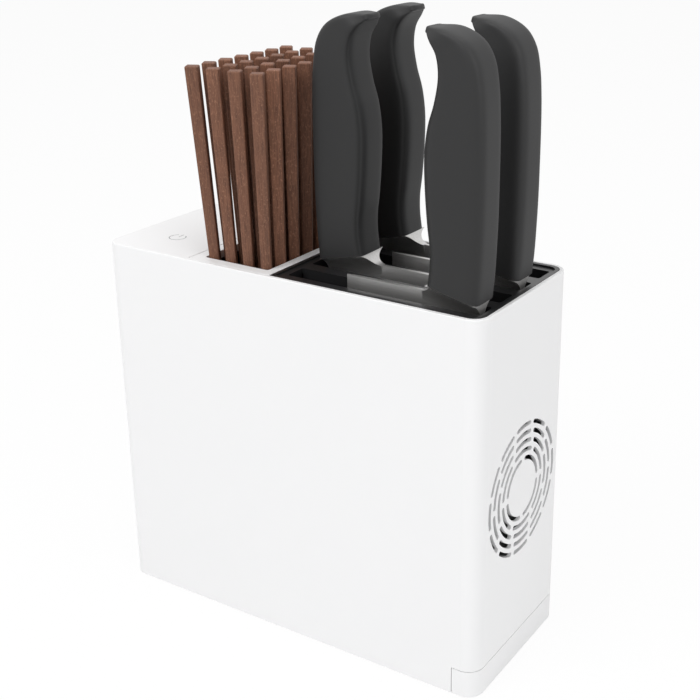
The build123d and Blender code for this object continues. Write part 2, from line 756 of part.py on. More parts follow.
basket_cage_height = lip_bottom_z - basket_floor_z + cage_wall
cage_slot_height = basket_slot_share * basket_cage_height
cage_slot_pitch = basket_slot_spread * cage_slot_height
with BuildPart() as basket_cage:
    with BuildSketch(Plane.XY.offset(basket_floor_z - cage_wall)):
        with Locations((basket_middle_x, 0)):
            RectangleRounded(basket_size_x + 2 * cage_wall, basket_size_y + 2 * cage_wall, basket_hole_radius)
    extrude(amount=basket_cage_height)
    with BuildSketch(Plane.XY.offset(basket_floor_z)):
        with Locations((basket_middle_x, 0)):
            RectangleRounded(basket_size_x, basket_size_y, basket_hole_radius)
    extrude(amount=basket_cage_height, mode=Mode.SUBTRACT)
    with BuildSketch(Plane.XZ):
        with Locations((basket_middle_x, basket_floor_z + basket_cage_height / 2)):
            with GridLocations(
                basket_size_x / (basket_slot_columns + 1),
                cage_slot_pitch,
                basket_slot_columns,
                basket_slot_tiers,
            ):
                SlotOverall(cage_slot_height, basket_slot_width, rotation=90)
    extrude(amount=half_depth, both=True, mode=Mode.SUBTRACT)
    with BuildSketch(Plane.YZ.offset(basket_middle_x)):
        with Locations((0, basket_floor_z + basket_cage_height / 2)):
            with GridLocations(
                basket_size_y / (basket_slot_rows + 1),
                cage_slot_pitch,
                basket_slot_rows,
                basket_slot_tiers,
            ):
                SlotOverall(cage_slot_height, basket_slot_width, rotation=90)
    extrude(amount=basket_size_x, both=True, mode=Mode.SUBTRACT)
    with BuildSketch(Plane.XY.offset(basket_floor_z - cage_wall)):
        with Locations((basket_middle_x, 0)):
            with GridLocations(
                basket_size_x / (stick_columns + 1), basket_size_y / (stick_rows + 1), stick_columns, stick_rows
            ):
                Circle(cage_hole_radius)
    extrude(amount=cage_wall, mode=Mode.SUBTRACT)
basket_cage.part.label = "basket_cage"
export_step(basket_cage.part, "parts/basket_cage.step")

# ---------------------------------------------------------------- chopsticks
stick_bottom_z = basket_floor_z + fit_gap
stick_top_z = stick_bottom_z + stick_length
stick_rim_share = (height - stick_bottom_z) / stick_length
visible_share = 1 - stick_rim_share
stick_pitch_x = (basket_size_x - 2 * stick_margin_x) / (stick_columns - 1)
stick_pitch_y = (basket_size_y - 2 * stick_margin_y) / (stick_rows - 1)


def stick_ends(column, row):
    """Centre of one stick at its tip and at its head: they fan out upwards and lean a little to the left."""
    rim_x = basket_middle_x + (column - (stick_columns - 1) / 2) * stick_pitch_x
    rim_y = (row - (stick_rows - 1) / 2) * stick_pitch_y
    out_x = stick_lean_left + (stick_lean_right - stick_lean_left) * column / (stick_columns - 1)
    out_y = stick_fan_y * (2 * row / (stick_rows - 1) - 1)
    tip = (rim_x - out_x * stick_rim_share / visible_share, rim_y - out_y * stick_rim_share / visible_share)
    head = (rim_x + out_x, rim_y + out_y)
    return tip, head


for column in range(stick_columns):
    with BuildPart() as sticks:
        for row in range(stick_rows):
            tip, head = stick_ends(column, row)
            with BuildSketch(Plane.XY.offset(stick_bottom_z)):
                with Locations(tip):
                    RectangleRounded(stick_tip, stick_tip, stick_corner_share * stick_tip, rotation=stick_turn)
            with BuildSketch(Plane.XY.offset(stick_top_z)):
                with Locations(head):
                    RectangleRounded(stick_head, stick_head, stick_corner_share * stick_head, rotation=stick_turn)
            loft(ruled=True)
    sticks.part.label = f"chopsticks_{column + 1}"
    export_step(sticks.part, f"parts/chopsticks_{column + 1}.step")

# ---------------------------------------------------------------- knife insert
with BuildPart() as insert_deck:
    with BuildSketch(Plane.XY.offset(rim_bottom)):
        add(rounded_right(insert_x0, insert_x1, rim_half_y, insert_corner_radius - fit_gap, deck_left_corner))
    extrude(amount=rim_height)
    with BuildSketch(Plane.XY.offset(insert_deck_top)):
        add(
            rounded_right(
                insert_x0 + insert_rim_wall,
                insert_x1 - insert_rim_wall,
                rim_half_y - insert_rim_wall,
                insert_corner_radius - insert_rim_wall,
                deck_left_corner,
            )
        )
    extrude(amount=insert_deck_drop, mode=Mode.SUBTRACT)
    with BuildSketch(Plane.XY.offset(rim_bottom)):
        add(
            rounded_right(
                insert_x0 + insert_rim_wall,
                insert_x1 - insert_rim_wall,
                rim_half_y - insert_rim_wall,
                insert_corner_radius - insert_rim_wall,
                deck_left_corner,
            )
        )
    extrude(amount=insert_deck_bottom - rim_bottom, mode=Mode.SUBTRACT)
    # Walls that guide each knife below the deck
    with BuildSketch(Plane.XY.offset(insert_deck_bottom - sleeve_depth)):
        with Locations(*[(slot_middle_x, row) for row in slot_rows]):
            Rectangle(slot_length, 2 * sleeve_half)
    extrude(amount=sleeve_depth)
    with BuildSketch(Plane.XY.offset(insert_deck_bottom - sleeve_depth)):
        with Locations(*[(slot_middle_x, row) for row in slot_rows]):
            Rectangle(slot_length, slot_width)
    extrude(amount=sleeve_depth, mode=Mode.SUBTRACT)
    with BuildSketch(Plane.XY.offset(insert_deck_bottom)):
        with Locations(*[(slot_middle_x, row) for row in slot_rows]):
            RectangleRounded(slot_length, slot_width, slot_corner)
    extrude(amount=insert_deck_thickness, mode=Mode.SUBTRACT)
insert_deck.part.label = "insert_deck"
export_step(insert_deck.part, "parts/insert_deck.step")

low_cage_middle_x = (cage_x0 + cage_low_x1) / 2
low_cage_length = cage_low_x1 - cage_x0
guide_z0 = knife_cage_step_z - knife_guide_depth
knife_slot_z = (knife_cage_floor_z + guide_z0) / 2
knife_slot_height = guide_z0 - knife_cage_floor_z - 2 * knife_slot_ends
knife_slot_pitch_x = (low_cage_length - 2 * knife_slot_margin_x) / (knife_slot_columns - 1)
knife_slot_pitch_y = 2 * (cage_half_y - knife_slot_margin_y) / (knife_slot_rows - 1)
knife_hole_pitch_x = (low_cage_length - 2 * knife_hole_margin_x) / (knife_hole_columns - 1)
knife_hole_pitch_y = 2 * (cage_half_y - knife_hole_margin_y) / (knife_hole_rows - 1)
panel_z0 = knife_cage_floor_z + knife_cage_wall
with BuildPart() as knife_cage_floor:
    with BuildSketch(Plane.XY.offset(knife_cage_floor_z)):
        with Locations((low_cage_middle_x, 0)):
            Rectangle(low_cage_length, 2 * cage_half_y)
            with GridLocations(knife_hole_pitch_x, knife_hole_pitch_y, knife_hole_columns, knife_hole_rows):
                Circle(cage_hole_radius, mode=Mode.SUBTRACT)
    extrude(amount=knife_cage_wall)
knife_cage_floor.part.label = "knife_cage_floor"
export_step(knife_cage_floor.part, "parts/knife_cage_floor.step")

# Front and back panels of the cage, slotted for light and air
with BuildPart() as knife_cage_sides:
    with BuildSketch(Plane.XY.offset(panel_z0)):
        with Locations((low_cage_middle_x, 0)):
            with GridLocations(low_cage_length, 2 * cage_half_y - knife_cage_wall, 1, 2):
                Rectangle(low_cage_length, knife_cage_wall)
    extrude(amount=knife_cage_step_z - panel_z0)
    with BuildSketch(Plane.XZ):
        with Locations((low_cage_middle_x, knife_slot_z)):
            with GridLocations(knife_slot_pitch_x, knife_slot_pitch_x, knife_slot_columns, 1):
                SlotOverall(knife_slot_height, knife_slot_width, rotation=90)
    extrude(amount=half_depth, both=True, mode=Mode.SUBTRACT)
knife_cage_sides.part.label = "knife_cage_sides"
export_step(knife_cage_sides.part, "parts/knife_cage_sides.step")

# Left and right panels of the cage, between the other two
with BuildPart() as knife_cage_ends:
    with BuildSketch(Plane.XY.offset(panel_z0)):
        with Locations((low_cage_middle_x, 0)):
            with GridLocations(low_cage_length - knife_cage_wall, knife_cage_wall, 2, 1):
                Rectangle(knife_cage_wall, 2 * (cage_half_y - knife_cage_wall))
    extrude(amount=knife_cage_step_z - panel_z0)
    with BuildSketch(Plane.YZ.offset(low_cage_middle_x)):
        with Locations((0, knife_slot_z)):
            with GridLocations(knife_slot_pitch_y, knife_slot_pitch_y, knife_slot_rows, 1):
                SlotOverall(knife_slot_height, knife_slot_width, rotation=90)
    extrude(amount=low_cage_length, both=True, mode=Mode.SUBTRACT)
knife_cage_ends.part.label = "knife_cage_ends"
export_step(knife_cage_ends.part, "parts/knife_cage_ends.step")

# Collar between the deck and the cage: it is longer than the cage and steps back over the fan
with BuildPart() as knife_collar:
    with BuildSketch(Plane.XY.offset(knife_cage_step_z)):
        add(rounded_right(cage_x0, cage_x1, cage_half_y, knife_cage_corner, small_corner))
    extrude(amount=insert_deck_bottom - knife_cage_step_z)
    with BuildSketch(Plane.XY.offset(knife_cage_step_z + knife_cage_wall)):
        add(
            rounded_right(
                cage_x0 + knife_cage_wall,
                cage_x1 - knife_cage_wall,
                cage_half_y - knife_cage_wall,
                knife_cage_corner - knife_cage_wall,
                small_corner,
            )
        )
    extrude(amount=insert_deck_bottom - knife_cage_step_z, mode=Mode.SUBTRACT)
    with BuildSketch(Plane.XY.offset(knife_cage_step_z)):
        with Locations((low_cage_middle_x, 0)):
            Rectangle(low_cage_length - 2 * knife_cage_wall, 2 * (cage_half_y - knife_cage_wall))
    extrude(amount=knife_cage_wall, mode=Mode.SUBTRACT)
knife_collar.part.label = "knife_collar"
export_step(knife_collar.part, "parts/knife_collar.step")

# Guide plates between the knives, from the collar down into the cage
with BuildPart() as knife_guides:
    with BuildSketch(Plane.XY.offset(guide_z0)):
        for between in range(slot_count - 1):
            with Locations((low_cage_middle_x, (slot_rows[between] + slot_rows[between + 1]) / 2)):
                Rectangle(low_cage_length - 2 * knife_cage_wall, knife_cage_wall)
    extrude(amount=insert_deck_bottom - guide_z0)
knife_guides.part.label = "knife_guides"
export_step(knife_guides.part, "parts/knife_guides.step")

with BuildPart() as knife_rest_pads:
    with BuildSketch(Plane.XY.offset(panel_z0)):
        with Locations(*[(low_cage_middle_x, row) for row in slot_rows]):
            RectangleRounded(low_cage_length - 4 * knife_cage_wall, slot_width / 2, slot_corner)
    extrude(amount=pad_thickness)
knife_rest_pads.part.label = "knife_rest_pads"
export_step(knife_rest_pads.part, "parts/knife_rest_pads.step")

# ---------------------------------------------------------------- knives
# Handle sections from the bolster up, as shares: height along the handle, finger side and spine side
# measured from the spine in handle widths, and thickness.
handle_sections = (
    (-0.03, 1.01, 0.01, 0.95),
    (0.10, 0.95, -0.02, 0.97),
    (0.20, 0.95, -0.045, 0.99),
    (0.40, 1.04, -0.065, 1.00),
    (0.55, 1.055, -0.065, 1.00),
    (0.71, 0.91, -0.05, 1.00),
    (0.83, 0.81, 0.01, 0.99),
    (0.90, 0.85, 0.10, 0.98),
    (0.955, 0.98, 0.30, 0.93),
    (0.985, 1.06, 0.52, 0.85),
    (1.00, 1.03, 0.74, 0.70),
)
handle_steps = 3


def smooth_sections():
    """Adds steps between the handle's sections, on a curve that runs smoothly through them."""
    last = len(handle_sections) - 1
    rows = []
    for index in range(last):
        before = handle_sections[max(index - 1, 0)]
        here = handle_sections[index]
        after = handle_sections[index + 1]
        beyond = handle_sections[min(index + 2, last)]
        run = after[0] - here[0]
        for step in range(handle_steps):
            t = step / handle_steps
            row = [here[0] + t * run]
            for value in (1, 2, 3):
                slope_here = (after[value] - before[value]) / (after[0] - before[0]) * run
                slope_after = (beyond[value] - here[value]) / (beyond[0] - here[0]) * run
                row.append(
                    (2 * t**3 - 3 * t**2 + 1) * here[value]
                    + (t**3 - 2 * t**2 + t) * slope_here
                    + (3 * t**2 - 2 * t**3) * after[value]
                    + (t**3 - t**2) * slope_after
                )
            rows.append(row)
    rows.append(list(handle_sections[-1]))
    return rows


def knife(number, row_y, spine_x, side):
    """Makes one knife. side is the way its blade reaches from the spine: -1 to the left, 1 to the right."""

    def at(across, up):
        """A point in the knife's own plane: across from the spine, up from the heel."""
        return (spine_x + side * across, heel_z + up)

    knife_plane = Plane.XZ.offset(-row_y)
    seat_plane = Plane(
        origin=(spine_x, row_y, heel_z), x_dir=(0, side, 0), z_dir=(side * handle_base_width, 0, handle_seat_rise)
    )
    seat_across = 2 * handle_base_width
    seat_up = 2 * handle_seat_rise

    with BuildPart() as handle:
        for share, finger, spine, thick in smooth_sections():
            with BuildSketch(Plane.XY.offset(heel_z + share * handle_length)):
                with Locations((spine_x + side * (finger + spine) / 2 * handle_width, row_y)):
                    RectangleRounded(
                        (finger - spine) * handle_width,
                        thick * handle_thickness,
                        handle_corner_share * thick * handle_thickness,
                    )
        loft(ruled=True)
        with BuildSketch(knife_plane):
            with BuildLine():
                Polyline(
                    at(-seat_across, -seat_up),
                    at(seat_across, seat_up),
                    at(seat_across, -handle_width),
                    at(-seat_across, -handle_width),
                    close=True,
                )
            make_face()
        extrude(amount=handle_thickness, both=True, mode=Mode.SUBTRACT)
        with BuildSketch(knife_plane):
            with BuildLine():
                Polyline(
                    at(tang_inset, -tang_drop),
                    at(tang_inset + tang_width, -tang_drop),
                    at(tang_inset + tang_width, tang_length),
                    at(tang_inset, tang_length),
                    close=True,
                )
            make_face()
        extrude(amount=tang_thickness / 2, both=True, mode=Mode.SUBTRACT)
    handle.part.label = f"knife_{number}_handle"
    export_step(handle.part, f"parts/knife_{number}_handle.step")

    edge_across = blade_spine_inset + blade_width
    bolster_across = handle_base_width + bolster_sweep
    flank = (bolster_thickness - blade_thickness) / 2
    curve_in = bolster_curve_share
    with BuildPart() as blade:
        with BuildSketch(knife_plane) as blade_outline:
            with BuildLine():
                Polyline(
                    at(blade_spine_inset, 0),
                    at(edge_across, 0),
                    at(edge_across, -blade_length),
                    at(blade_spine_inset + blade_spine_drop, -blade_length),
                    close=True,
                )
            make_face()
            fillet(blade_outline.vertices().group_by(Axis.Y)[0], blade_tip_radius)
        extrude(amount=blade_thickness / 2, both=True)
        # Ground edge
        for face in (-1, 1):
            with BuildSketch(Plane.XY.offset(heel_z - blade_length)):
                with BuildLine():
                    Polyline(
                        (spine_x + side * (edge_across - blade_bevel), row_y + face * blade_thickness / 2),
                        (spine_x + side * (edge_across + 1), row_y + face * blade_edge_thickness / 2),
                        (spine_x + side * (edge_across + 1), row_y + face * blade_thickness),
                        (spine_x + side * (edge_across - blade_bevel), row_y + face * blade_thickness),
                        close=True,
                    )
                make_face()
            extrude(amount=blade_length, mode=Mode.SUBTRACT)
        # Bolster: as thick as the handle at its seat, then hollow-curved into the blade's faces and top edge
        with BuildSketch(knife_plane):
            with BuildLine():
                ThreePointArc(
                    at(handle_base_width, handle_seat_rise),
                    at(handle_base_width + curve_in * bolster_sweep, curve_in * handle_seat_rise),
                    at(bolster_across, 0),
                )
                Polyline(
                    at(bolster_across, 0),
                    at(bolster_across, -bolster_drop),
                    at(blade_spine_inset, -bolster_drop),
                    at(blade_spine_inset, handle_seat_rise * blade_spine_inset / handle_base_width),
                    at(handle_base_width, handle_seat_rise),
                )
            make_face()
        extrude(amount=bolster_thickness / 2, both=True)
        for face in (-1, 1):
            with BuildSketch(seat_plane):
                with BuildLine():
                    ThreePointArc(
                        (face * blade_thickness / 2, -bolster_drop),
                        (face * (blade_thickness / 2 + curve_in * flank), -curve_in * bolster_drop),
                        (face * bolster_thickness / 2, 0),
                    )
                    Polyline(
                        (face * bolster_thickness / 2, 0),
                        (face * bolster_thickness, 0),
                        (face * bolster_thickness, -3 * bolster_drop),
                        (face * blade_thickness / 2, -3 * bolster_drop),
                        (face * blade_thickness / 2, -bolster_drop),
                    )
                make_face()
            extrude(amount=2 * bolster_across, both=True, mode=Mode.SUBTRACT)
        # Tang inside the handle
        with BuildSketch(knife_plane):
            with BuildLine():
                Polyline(
                    at(tang_inset, -tang_drop),
                    at(tang_inset + tang_width, -tang_drop),
                    at(tang_inset + tang_width, tang_length),
                    at(tang_inset, tang_length),
                    close=True,
                )
            make_face()
        extrude(amount=tang_thickness / 2, both=True)
    blade.part.label = f"knife_{number}_blade"
    export_step(blade.part, f"parts/knife_{number}_blade.step")


for index, row_y in enumerate(slot_rows):
    if index % 2 == 0:
        knife(index + 1, row_y, handle_spine_x, -1)
    else:
        knife(index + 1, row_y, left_spine_x, 1)

# ---------------------------------------------------------------- fan behind the grille


def fan_plane(x):
    """A plane square to the fan's axis at x, with its origin on the axis."""
    return Plane(origin=(x, 0, fan_z), x_dir=(0, 1, 0), z_dir=(1, 0, 0))


strut_x0 = fan_x0
rotor_x0 = strut_x0 + fan_motor_plate + fit_gap
rotor_x1 = inner_x - 2 * fit_gap
with BuildPart() as fan_frame:
    with BuildSketch(fan_plane(fan_x0)):
        RectangleRounded(fan_size, fan_size, fan_corner_radius)
        Circle(fan_bore_radius, mode=Mode.SUBTRACT)
        with GridLocations(fan_screw_spacing, fan_screw_spacing, 2, 2):
            Circle(fan_hole_radius, mode=Mode.SUBTRACT)
    extrude(amount=fan_thickness)
    with BuildSketch(fan_plane(fan_x0)):
        with GridLocations(fan_screw_spacing, fan_screw_spacing, 2, 2):
            Circle(fan_screw_head_radius + fit_gap)
    extrude(amount=screw_head_height, mode=Mode.SUBTRACT)
    with BuildSketch(fan_plane(strut_x0)):
        Circle(fan_hub_radius)
        with PolarLocations(0, 4, start_angle=45):
            with Locations(((fan_bore_radius + fan_hub_radius) / 2, 0)):
                Rectangle(fan_bore_radius - fan_hub_radius + 2 * fan_strut_thickness, fan_strut_width)
    extrude(amount=fan_strut_thickness)
    with BuildSketch(fan_plane(strut_x0)):
        Circle(bearing_radius + bearing_wall)
    extrude(amount=fan_thickness - 3 * fan_strut_thickness)
    with BuildSketch(fan_plane(strut_x0)):
        Circle(bearing_radius)
    extrude(amount=fan_thickness, mode=Mode.SUBTRACT)
fan_frame.part.label = "fan_frame"
export_step(fan_frame.part, "parts/fan_frame.step")

bearing_x1 = strut_x0 + fan_thickness - 3 * fan_strut_thickness
with BuildPart() as fan_bearing:
    with BuildSketch(fan_plane(strut_x0)):
        Circle(bearing_radius)
        Circle(fan_shaft_radius + shaft_clearance, mode=Mode.SUBTRACT)
    extrude(amount=bearing_x1 - strut_x0)
fan_bearing.part.label = "fan_bearing"
export_step(fan_bearing.part, "parts/fan_bearing.step")

stator_x0 = strut_x0 + fan_strut_thickness
with BuildPart() as fan_stator:
    with BuildSketch(fan_plane(stator_x0)):
        Circle(fan_hub_radius - 2 * fan_hub_wall)
        Circle(bearing_radius + bearing_wall, mode=Mode.SUBTRACT)
    extrude(amount=bearing_x1 - stator_x0 - fan_winding_gap)
fan_stator.part.label = "fan_stator"
export_step(fan_stator.part, "parts/fan_stator.step")

fan_tip_radius = fan_bore_radius - fan_tip_gap
blade_root = fan_hub_radius - fan_root_overlap
rotor_middle_x = (rotor_x0 + rotor_x1) / 2
with BuildPart() as fan_rotor:
    with BuildSketch(fan_plane(rotor_x0)):
        Circle(fan_hub_radius)
    extrude(amount=rotor_x1 - rotor_x0)
    with BuildSketch(fan_plane(rotor_x0)):
        Circle(fan_hub_radius - fan_hub_wall)
    extrude(amount=bearing_x1 + fit_gap - rotor_x0, mode=Mode.SUBTRACT)
    # Blades: slanted plates from the hub to just inside the bore
    blade_middle = Location((0, (fan_tip_radius + blade_root) / 2, 0), (0, fan_blade_tilt, 0))
    for index in range(fan_blade_count):
        turned = Location((rotor_middle_x, 0, fan_z), (360 / fan_blade_count * index, 0, 0))
        with Locations(turned * blade_middle):
            Box(fan_blade_thickness, fan_tip_radius - blade_root, fan_blade_chord)
    with BuildSketch(fan_plane(rotor_x0)):
        Circle(2 * fan_bore_radius)
    extrude(amount=-fan_blade_chord, mode=Mode.SUBTRACT)
    with BuildSketch(fan_plane(rotor_x1)):
        Circle(2 * fan_bore_radius)
    extrude(amount=fan_blade_chord, mode=Mode.SUBTRACT)
    with BuildSketch(fan_plane(rotor_x0)):
        Circle(2 * fan_bore_radius)
        Circle(fan_tip_radius, mode=Mode.SUBTRACT)
    extrude(amount=rotor_x1 - rotor_x0, mode=Mode.SUBTRACT)
    with BuildSketch(fan_plane(bearing_x1)):
        Circle(fan_shaft_radius)
    extrude(amount=fan_shaft_end, mode=Mode.SUBTRACT)
fan_rotor.part.label = "fan_rotor"
export_step(fan_rotor.part, "parts/fan_rotor.step")

with BuildPart() as fan_shaft:
    with BuildSketch(fan_plane(strut_x0 + fan_shaft_start)):
        Circle(fan_shaft_radius)
    extrude(amount=bearing_x1 + fan_shaft_end - strut_x0 - fan_shaft_start)
fan_shaft.part.label = "fan_shaft"
export_step(fan_shaft.part, "parts/fan_shaft.step")

with BuildPart() as fan_screws:
    with BuildSketch(fan_plane(fan_x0)):
        with GridLocations(fan_screw_spacing, fan_screw_spacing, 2, 2):
            Circle(fan_screw_head_radius)
    extrude(amount=screw_head_height)
    with BuildSketch(fan_plane(fan_x0)):
        with GridLocations(fan_screw_spacing, fan_screw_spacing, 2, 2):
            Circle(fan_screw_radius)
    extrude(amount=screw_head_height + fan_thickness / 2)
fan_screws.part.label = "fan_screws"
export_step(fan_screws.part, "parts/fan_screws.step")

# ---------------------------------------------------------------- heater on the divider's left side
heater_x1 = divider_x0
heater_x0 = heater_x1 - heater_depth
heater_fin_pitch = (heater_width - 2 * heater_fin_margin) / (heater_fin_count - 1)
with BuildPart() as heater_core:
    with BuildSketch(Plane.YZ.offset(heater_x0)):
        with Locations((0, heater_z)):
            with GridLocations(heater_width, (heater_height - heater_bar) / 2, 1, 3):
                Rectangle(heater_width - 2 * heater_gap, heater_bar)
            with GridLocations(heater_fin_pitch, heater_height, heater_fin_count, 1):
                Rectangle(heater_fin, heater_height - heater_bar)
    extrude(amount=heater_depth)
heater_core.part.label = "heater_core"
export_step(heater_core.part, "parts/heater_core.step")

with BuildPart() as heater_frame:
    with BuildSketch(Plane.YZ.offset(heater_x0)):
        with Locations((0, heater_z)):
            Rectangle(heater_frame_width, heater_frame_height)
            Rectangle(heater_width - heater_gap, heater_height, mode=Mode.SUBTRACT)
            with GridLocations(2 * heater_screw_y, 2 * heater_screw_dz, 2, 2):
                Circle(board_screw_radius, mode=Mode.SUBTRACT)
    extrude(amount=heater_depth)
heater_frame.part.label = "heater_frame"
export_step(heater_frame.part, "parts/heater_frame.step")

with BuildPart() as heater_screws:
    with BuildSketch(Plane.YZ.offset(heater_x0 - board_screw_head_height)):
        with Locations((0, heater_z)):
            with GridLocations(2 * heater_screw_y, 2 * heater_screw_dz, 2, 2):
                Circle(board_screw_head_radius)
    extrude(amount=board_screw_head_height)
    with BuildSketch(Plane.YZ.offset(heater_x0)):
        with Locations((0, heater_z)):
            with GridLocations(2 * heater_screw_y, 2 * heater_screw_dz, 2, 2):
                Circle(board_screw_radius)
    extrude(amount=heater_depth + divider_thickness)
heater_screws.part.label = "heater_screws"
export_step(heater_screws.part, "parts/heater_screws.step")

# ---------------------------------------------------------------- boards in the left compartment
control_x1 = divider_x0 - standoff_height
control_x0 = control_x1 - board_thickness
with BuildPart() as control_board:
    with BuildSketch(Plane.YZ.offset(control_x0)):
        with Locations((0, control_z)):
            RectangleRounded(control_width, control_height, board_corner)
            with GridLocations(control_spacing_y, control_spacing_z, 2, 2):
                Circle(board_screw_radius, mode=Mode.SUBTRACT)
    extrude(amount=board_thickness)
control_board.part.label = "control_board"
export_step(control_board.part, "parts/control_board.step")

# Relay, driver chip, connectors and capacitors: y, z from the board's middle, width, height, depth
control_blocks = (
    (-18.0, 24.0, 19.0, 15.0, 15.0),
    (12.0, 22.0, 16.0, 16.0, 2.0),
    (0.0, -30.0, 44.0, 7.0, 9.0),
    (22.0, -8.0, 10.0, 12.0, 8.0),
)
control_capacitors = ((-20.0, -6.0), (-6.0, -6.0))
with BuildPart() as control_parts:
    for block_y, block_z, block_width, block_height, block_depth in control_blocks:
        with BuildSketch(Plane.YZ.offset(control_x0)):
            with Locations((block_y, control_z + block_z)):
                Rectangle(block_width, block_height)
        extrude(amount=-block_depth)
    with BuildSketch(Plane.YZ.offset(control_x0)):
        with Locations(*[(y, control_z + z) for y, z in control_capacitors]):
            Circle(small_capacitor_radius)
    extrude(amount=-small_capacitor_height)
control_parts.part.label = "control_board_parts"
export_step(control_parts.part, "parts/control_board_parts.step")

power_x0 = power_standoff_height - inner_x
power_x1 = power_x0 + board_thickness
power_spacing_y = power_width - 2 * control_hole_inset
power_spacing_z = power_height - 2 * control_hole_inset
with BuildPart() as power_board:
    with BuildSketch(Plane.YZ.offset(power_x0)):
        with Locations((0, power_z)):
            RectangleRounded(power_width, power_height, board_corner)
            with GridLocations(power_spacing_y, power_spacing_z, 2, 2):
                Circle(board_screw_radius, mode=Mode.SUBTRACT)
    extrude(amount=board_thickness)
power_board.part.label = "power_board"
export_step(power_board.part, "parts/power_board.step")

# Transformer, rectifier and terminal block, then two capacitors
power_blocks = (
    (-8.0, 8.0, 24.0, 22.0, 20.0),
    (18.0, 16.0, 12.0, 6.0, 12.0),
    (0.0, -30.0, 36.0, 9.0, 11.0),
)
power_capacitors = ((-14.0, -14.0), (16.0, -12.0))
with BuildPart() as power_parts:
    for block_y, block_z, block_width, block_height, block_depth in power_blocks:
        with BuildSketch(Plane.YZ.offset(power_x1)):
            with Locations((block_y, power_z + block_z)):
                Rectangle(block_width, block_height)
        extrude(amount=block_depth)
    with BuildSketch(Plane.YZ.offset(power_x1)):
        with Locations(*[(y, power_z + z) for y, z in power_capacitors]):
            Circle(large_capacitor_radius)
    extrude(amount=large_capacitor_height)
power_parts.part.label = "power_board_parts"
export_step(power_parts.part, "parts/power_board_parts.step")

with BuildPart() as board_screws:
    with BuildSketch(Plane.YZ.offset(control_x0)):
        with Locations((0, control_z)):
            with GridLocations(control_spacing_y, control_spacing_z, 2, 2):
                Circle(board_screw_head_radius)
    extrude(amount=-board_screw_head_height)
    with BuildSketch(Plane.YZ.offset(control_x0)):
        with Locations((0, control_z)):
            with GridLocations(control_spacing_y, control_spacing_z, 2, 2):
                Circle(board_screw_radius)
    extrude(amount=board_thickness + standoff_height)
    with BuildSketch(Plane.YZ.offset(power_x1)):
        with Locations((0, power_z)):
            with GridLocations(power_spacing_y, power_spacing_z, 2, 2):
                Circle(board_screw_head_radius)
    extrude(amount=board_screw_head_height)
    with BuildSketch(Plane.YZ.offset(power_x1)):
        with Locations((0, power_z)):
            with GridLocations(power_spacing_y, power_spacing_z, 2, 2):
                Circle(board_screw_radius)
    extrude(amount=-board_thickness - power_standoff_height)
board_screws.part.label = "board_screws"
export_step(board_screws.part, "parts/board_screws.step")

# Touch sensor: a small board held under the deck by its conductive pad
touch_board_z = deck_z - touch_pad_height
with BuildPart() as touch_board:
    with BuildSketch(Plane.XY.offset(touch_board_z)):
        with Locations((touch_x, touch_y)):
            RectangleRounded(touch_board_size, touch_board_size, board_corner)
    extrude(amount=-board_thickness)
touch_board.part.label = "touch_board"
export_step(touch_board.part, "parts/touch_board.step")

with BuildPart() as touch_pad:
    with BuildSketch(Plane.XY.offset(touch_board_z)):
        with Locations((touch_x, touch_y)):
            Circle(touch_pad_radius)
    extrude(amount=touch_pad_height)
touch_pad.part.label = "touch_pad"
export_step(touch_pad.part, "parts/touch_pad.step")

# ---------------------------------------------------------------- UV lamps between the two inserts
lamp_points = [(lamp_x, -lamp_spacing / 2), (lamp_x, lamp_spacing / 2)]
upper_holder_z = ledge_bottom - lamp_holder_height
lamp_top_z = upper_holder_z + lamp_socket_depth
with BuildPart() as lower_lamp_holder:
    with BuildSketch(Plane.XY.offset(lamp_bottom_z - lamp_socket_depth)):
        with Locations((lamp_x, 0)):
            Rectangle(lamp_holder_width, lamp_holder_length)
    extrude(amount=lamp_holder_height)
    with BuildSketch(Plane.XY.offset(chamber_z1)):
        with Locations((lamp_x, 0)):
            Rectangle(lamp_holder_width, lamp_post_length)
    extrude(amount=lamp_bottom_z - lamp_socket_depth - chamber_z1)
    with BuildSketch(Plane.XY.offset(lamp_bottom_z)):
        with Locations(*lamp_points):
            Circle(lamp_cap_radius)
    extrude(amount=lamp_holder_height, mode=Mode.SUBTRACT)
lower_lamp_holder.part.label = "lower_lamp_holder"
export_step(lower_lamp_holder.part, "parts/lower_lamp_holder.step")

with BuildPart() as upper_lamp_holder:
    with BuildSketch(Plane.XY.offset(upper_holder_z)):
        with Locations((lamp_x, 0)):
            Rectangle(lamp_holder_width, lamp_holder_length)
    extrude(amount=lamp_holder_height)
    with BuildSketch(Plane.XY.offset(upper_holder_z)):
        with Locations(*lamp_points):
            Circle(lamp_cap_radius)
    extrude(amount=lamp_socket_depth, mode=Mode.SUBTRACT)
upper_lamp_holder.part.label = "upper_lamp_holder"
export_step(upper_lamp_holder.part, "parts/upper_lamp_holder.step")

with BuildPart() as lamp_caps:
    with BuildSketch(Plane.XY.offset(lamp_bottom_z)):
        with Locations(*lamp_points):
            Circle(lamp_cap_radius)
    extrude(amount=lamp_cap_length)
    with BuildSketch(Plane.XY.offset(lamp_top_z - lamp_cap_length)):
        with Locations(*lamp_points):
            Circle(lamp_cap_radius)
    extrude(amount=lamp_cap_length)
lamp_caps.part.label = "lamp_caps"
export_step(lamp_caps.part, "parts/lamp_caps.step")

with BuildPart() as lamp_tubes:
    with BuildSketch(Plane.XY.offset(lamp_bottom_z + lamp_cap_length)):
        with Locations(*lamp_points):
            Circle(lamp_radius)
    extrude(amount=lamp_top_z - lamp_bottom_z - 2 * lamp_cap_length)
lamp_tubes.part.label = "lamp_tubes"
export_step(lamp_tubes.part, "parts/lamp_tubes.step")

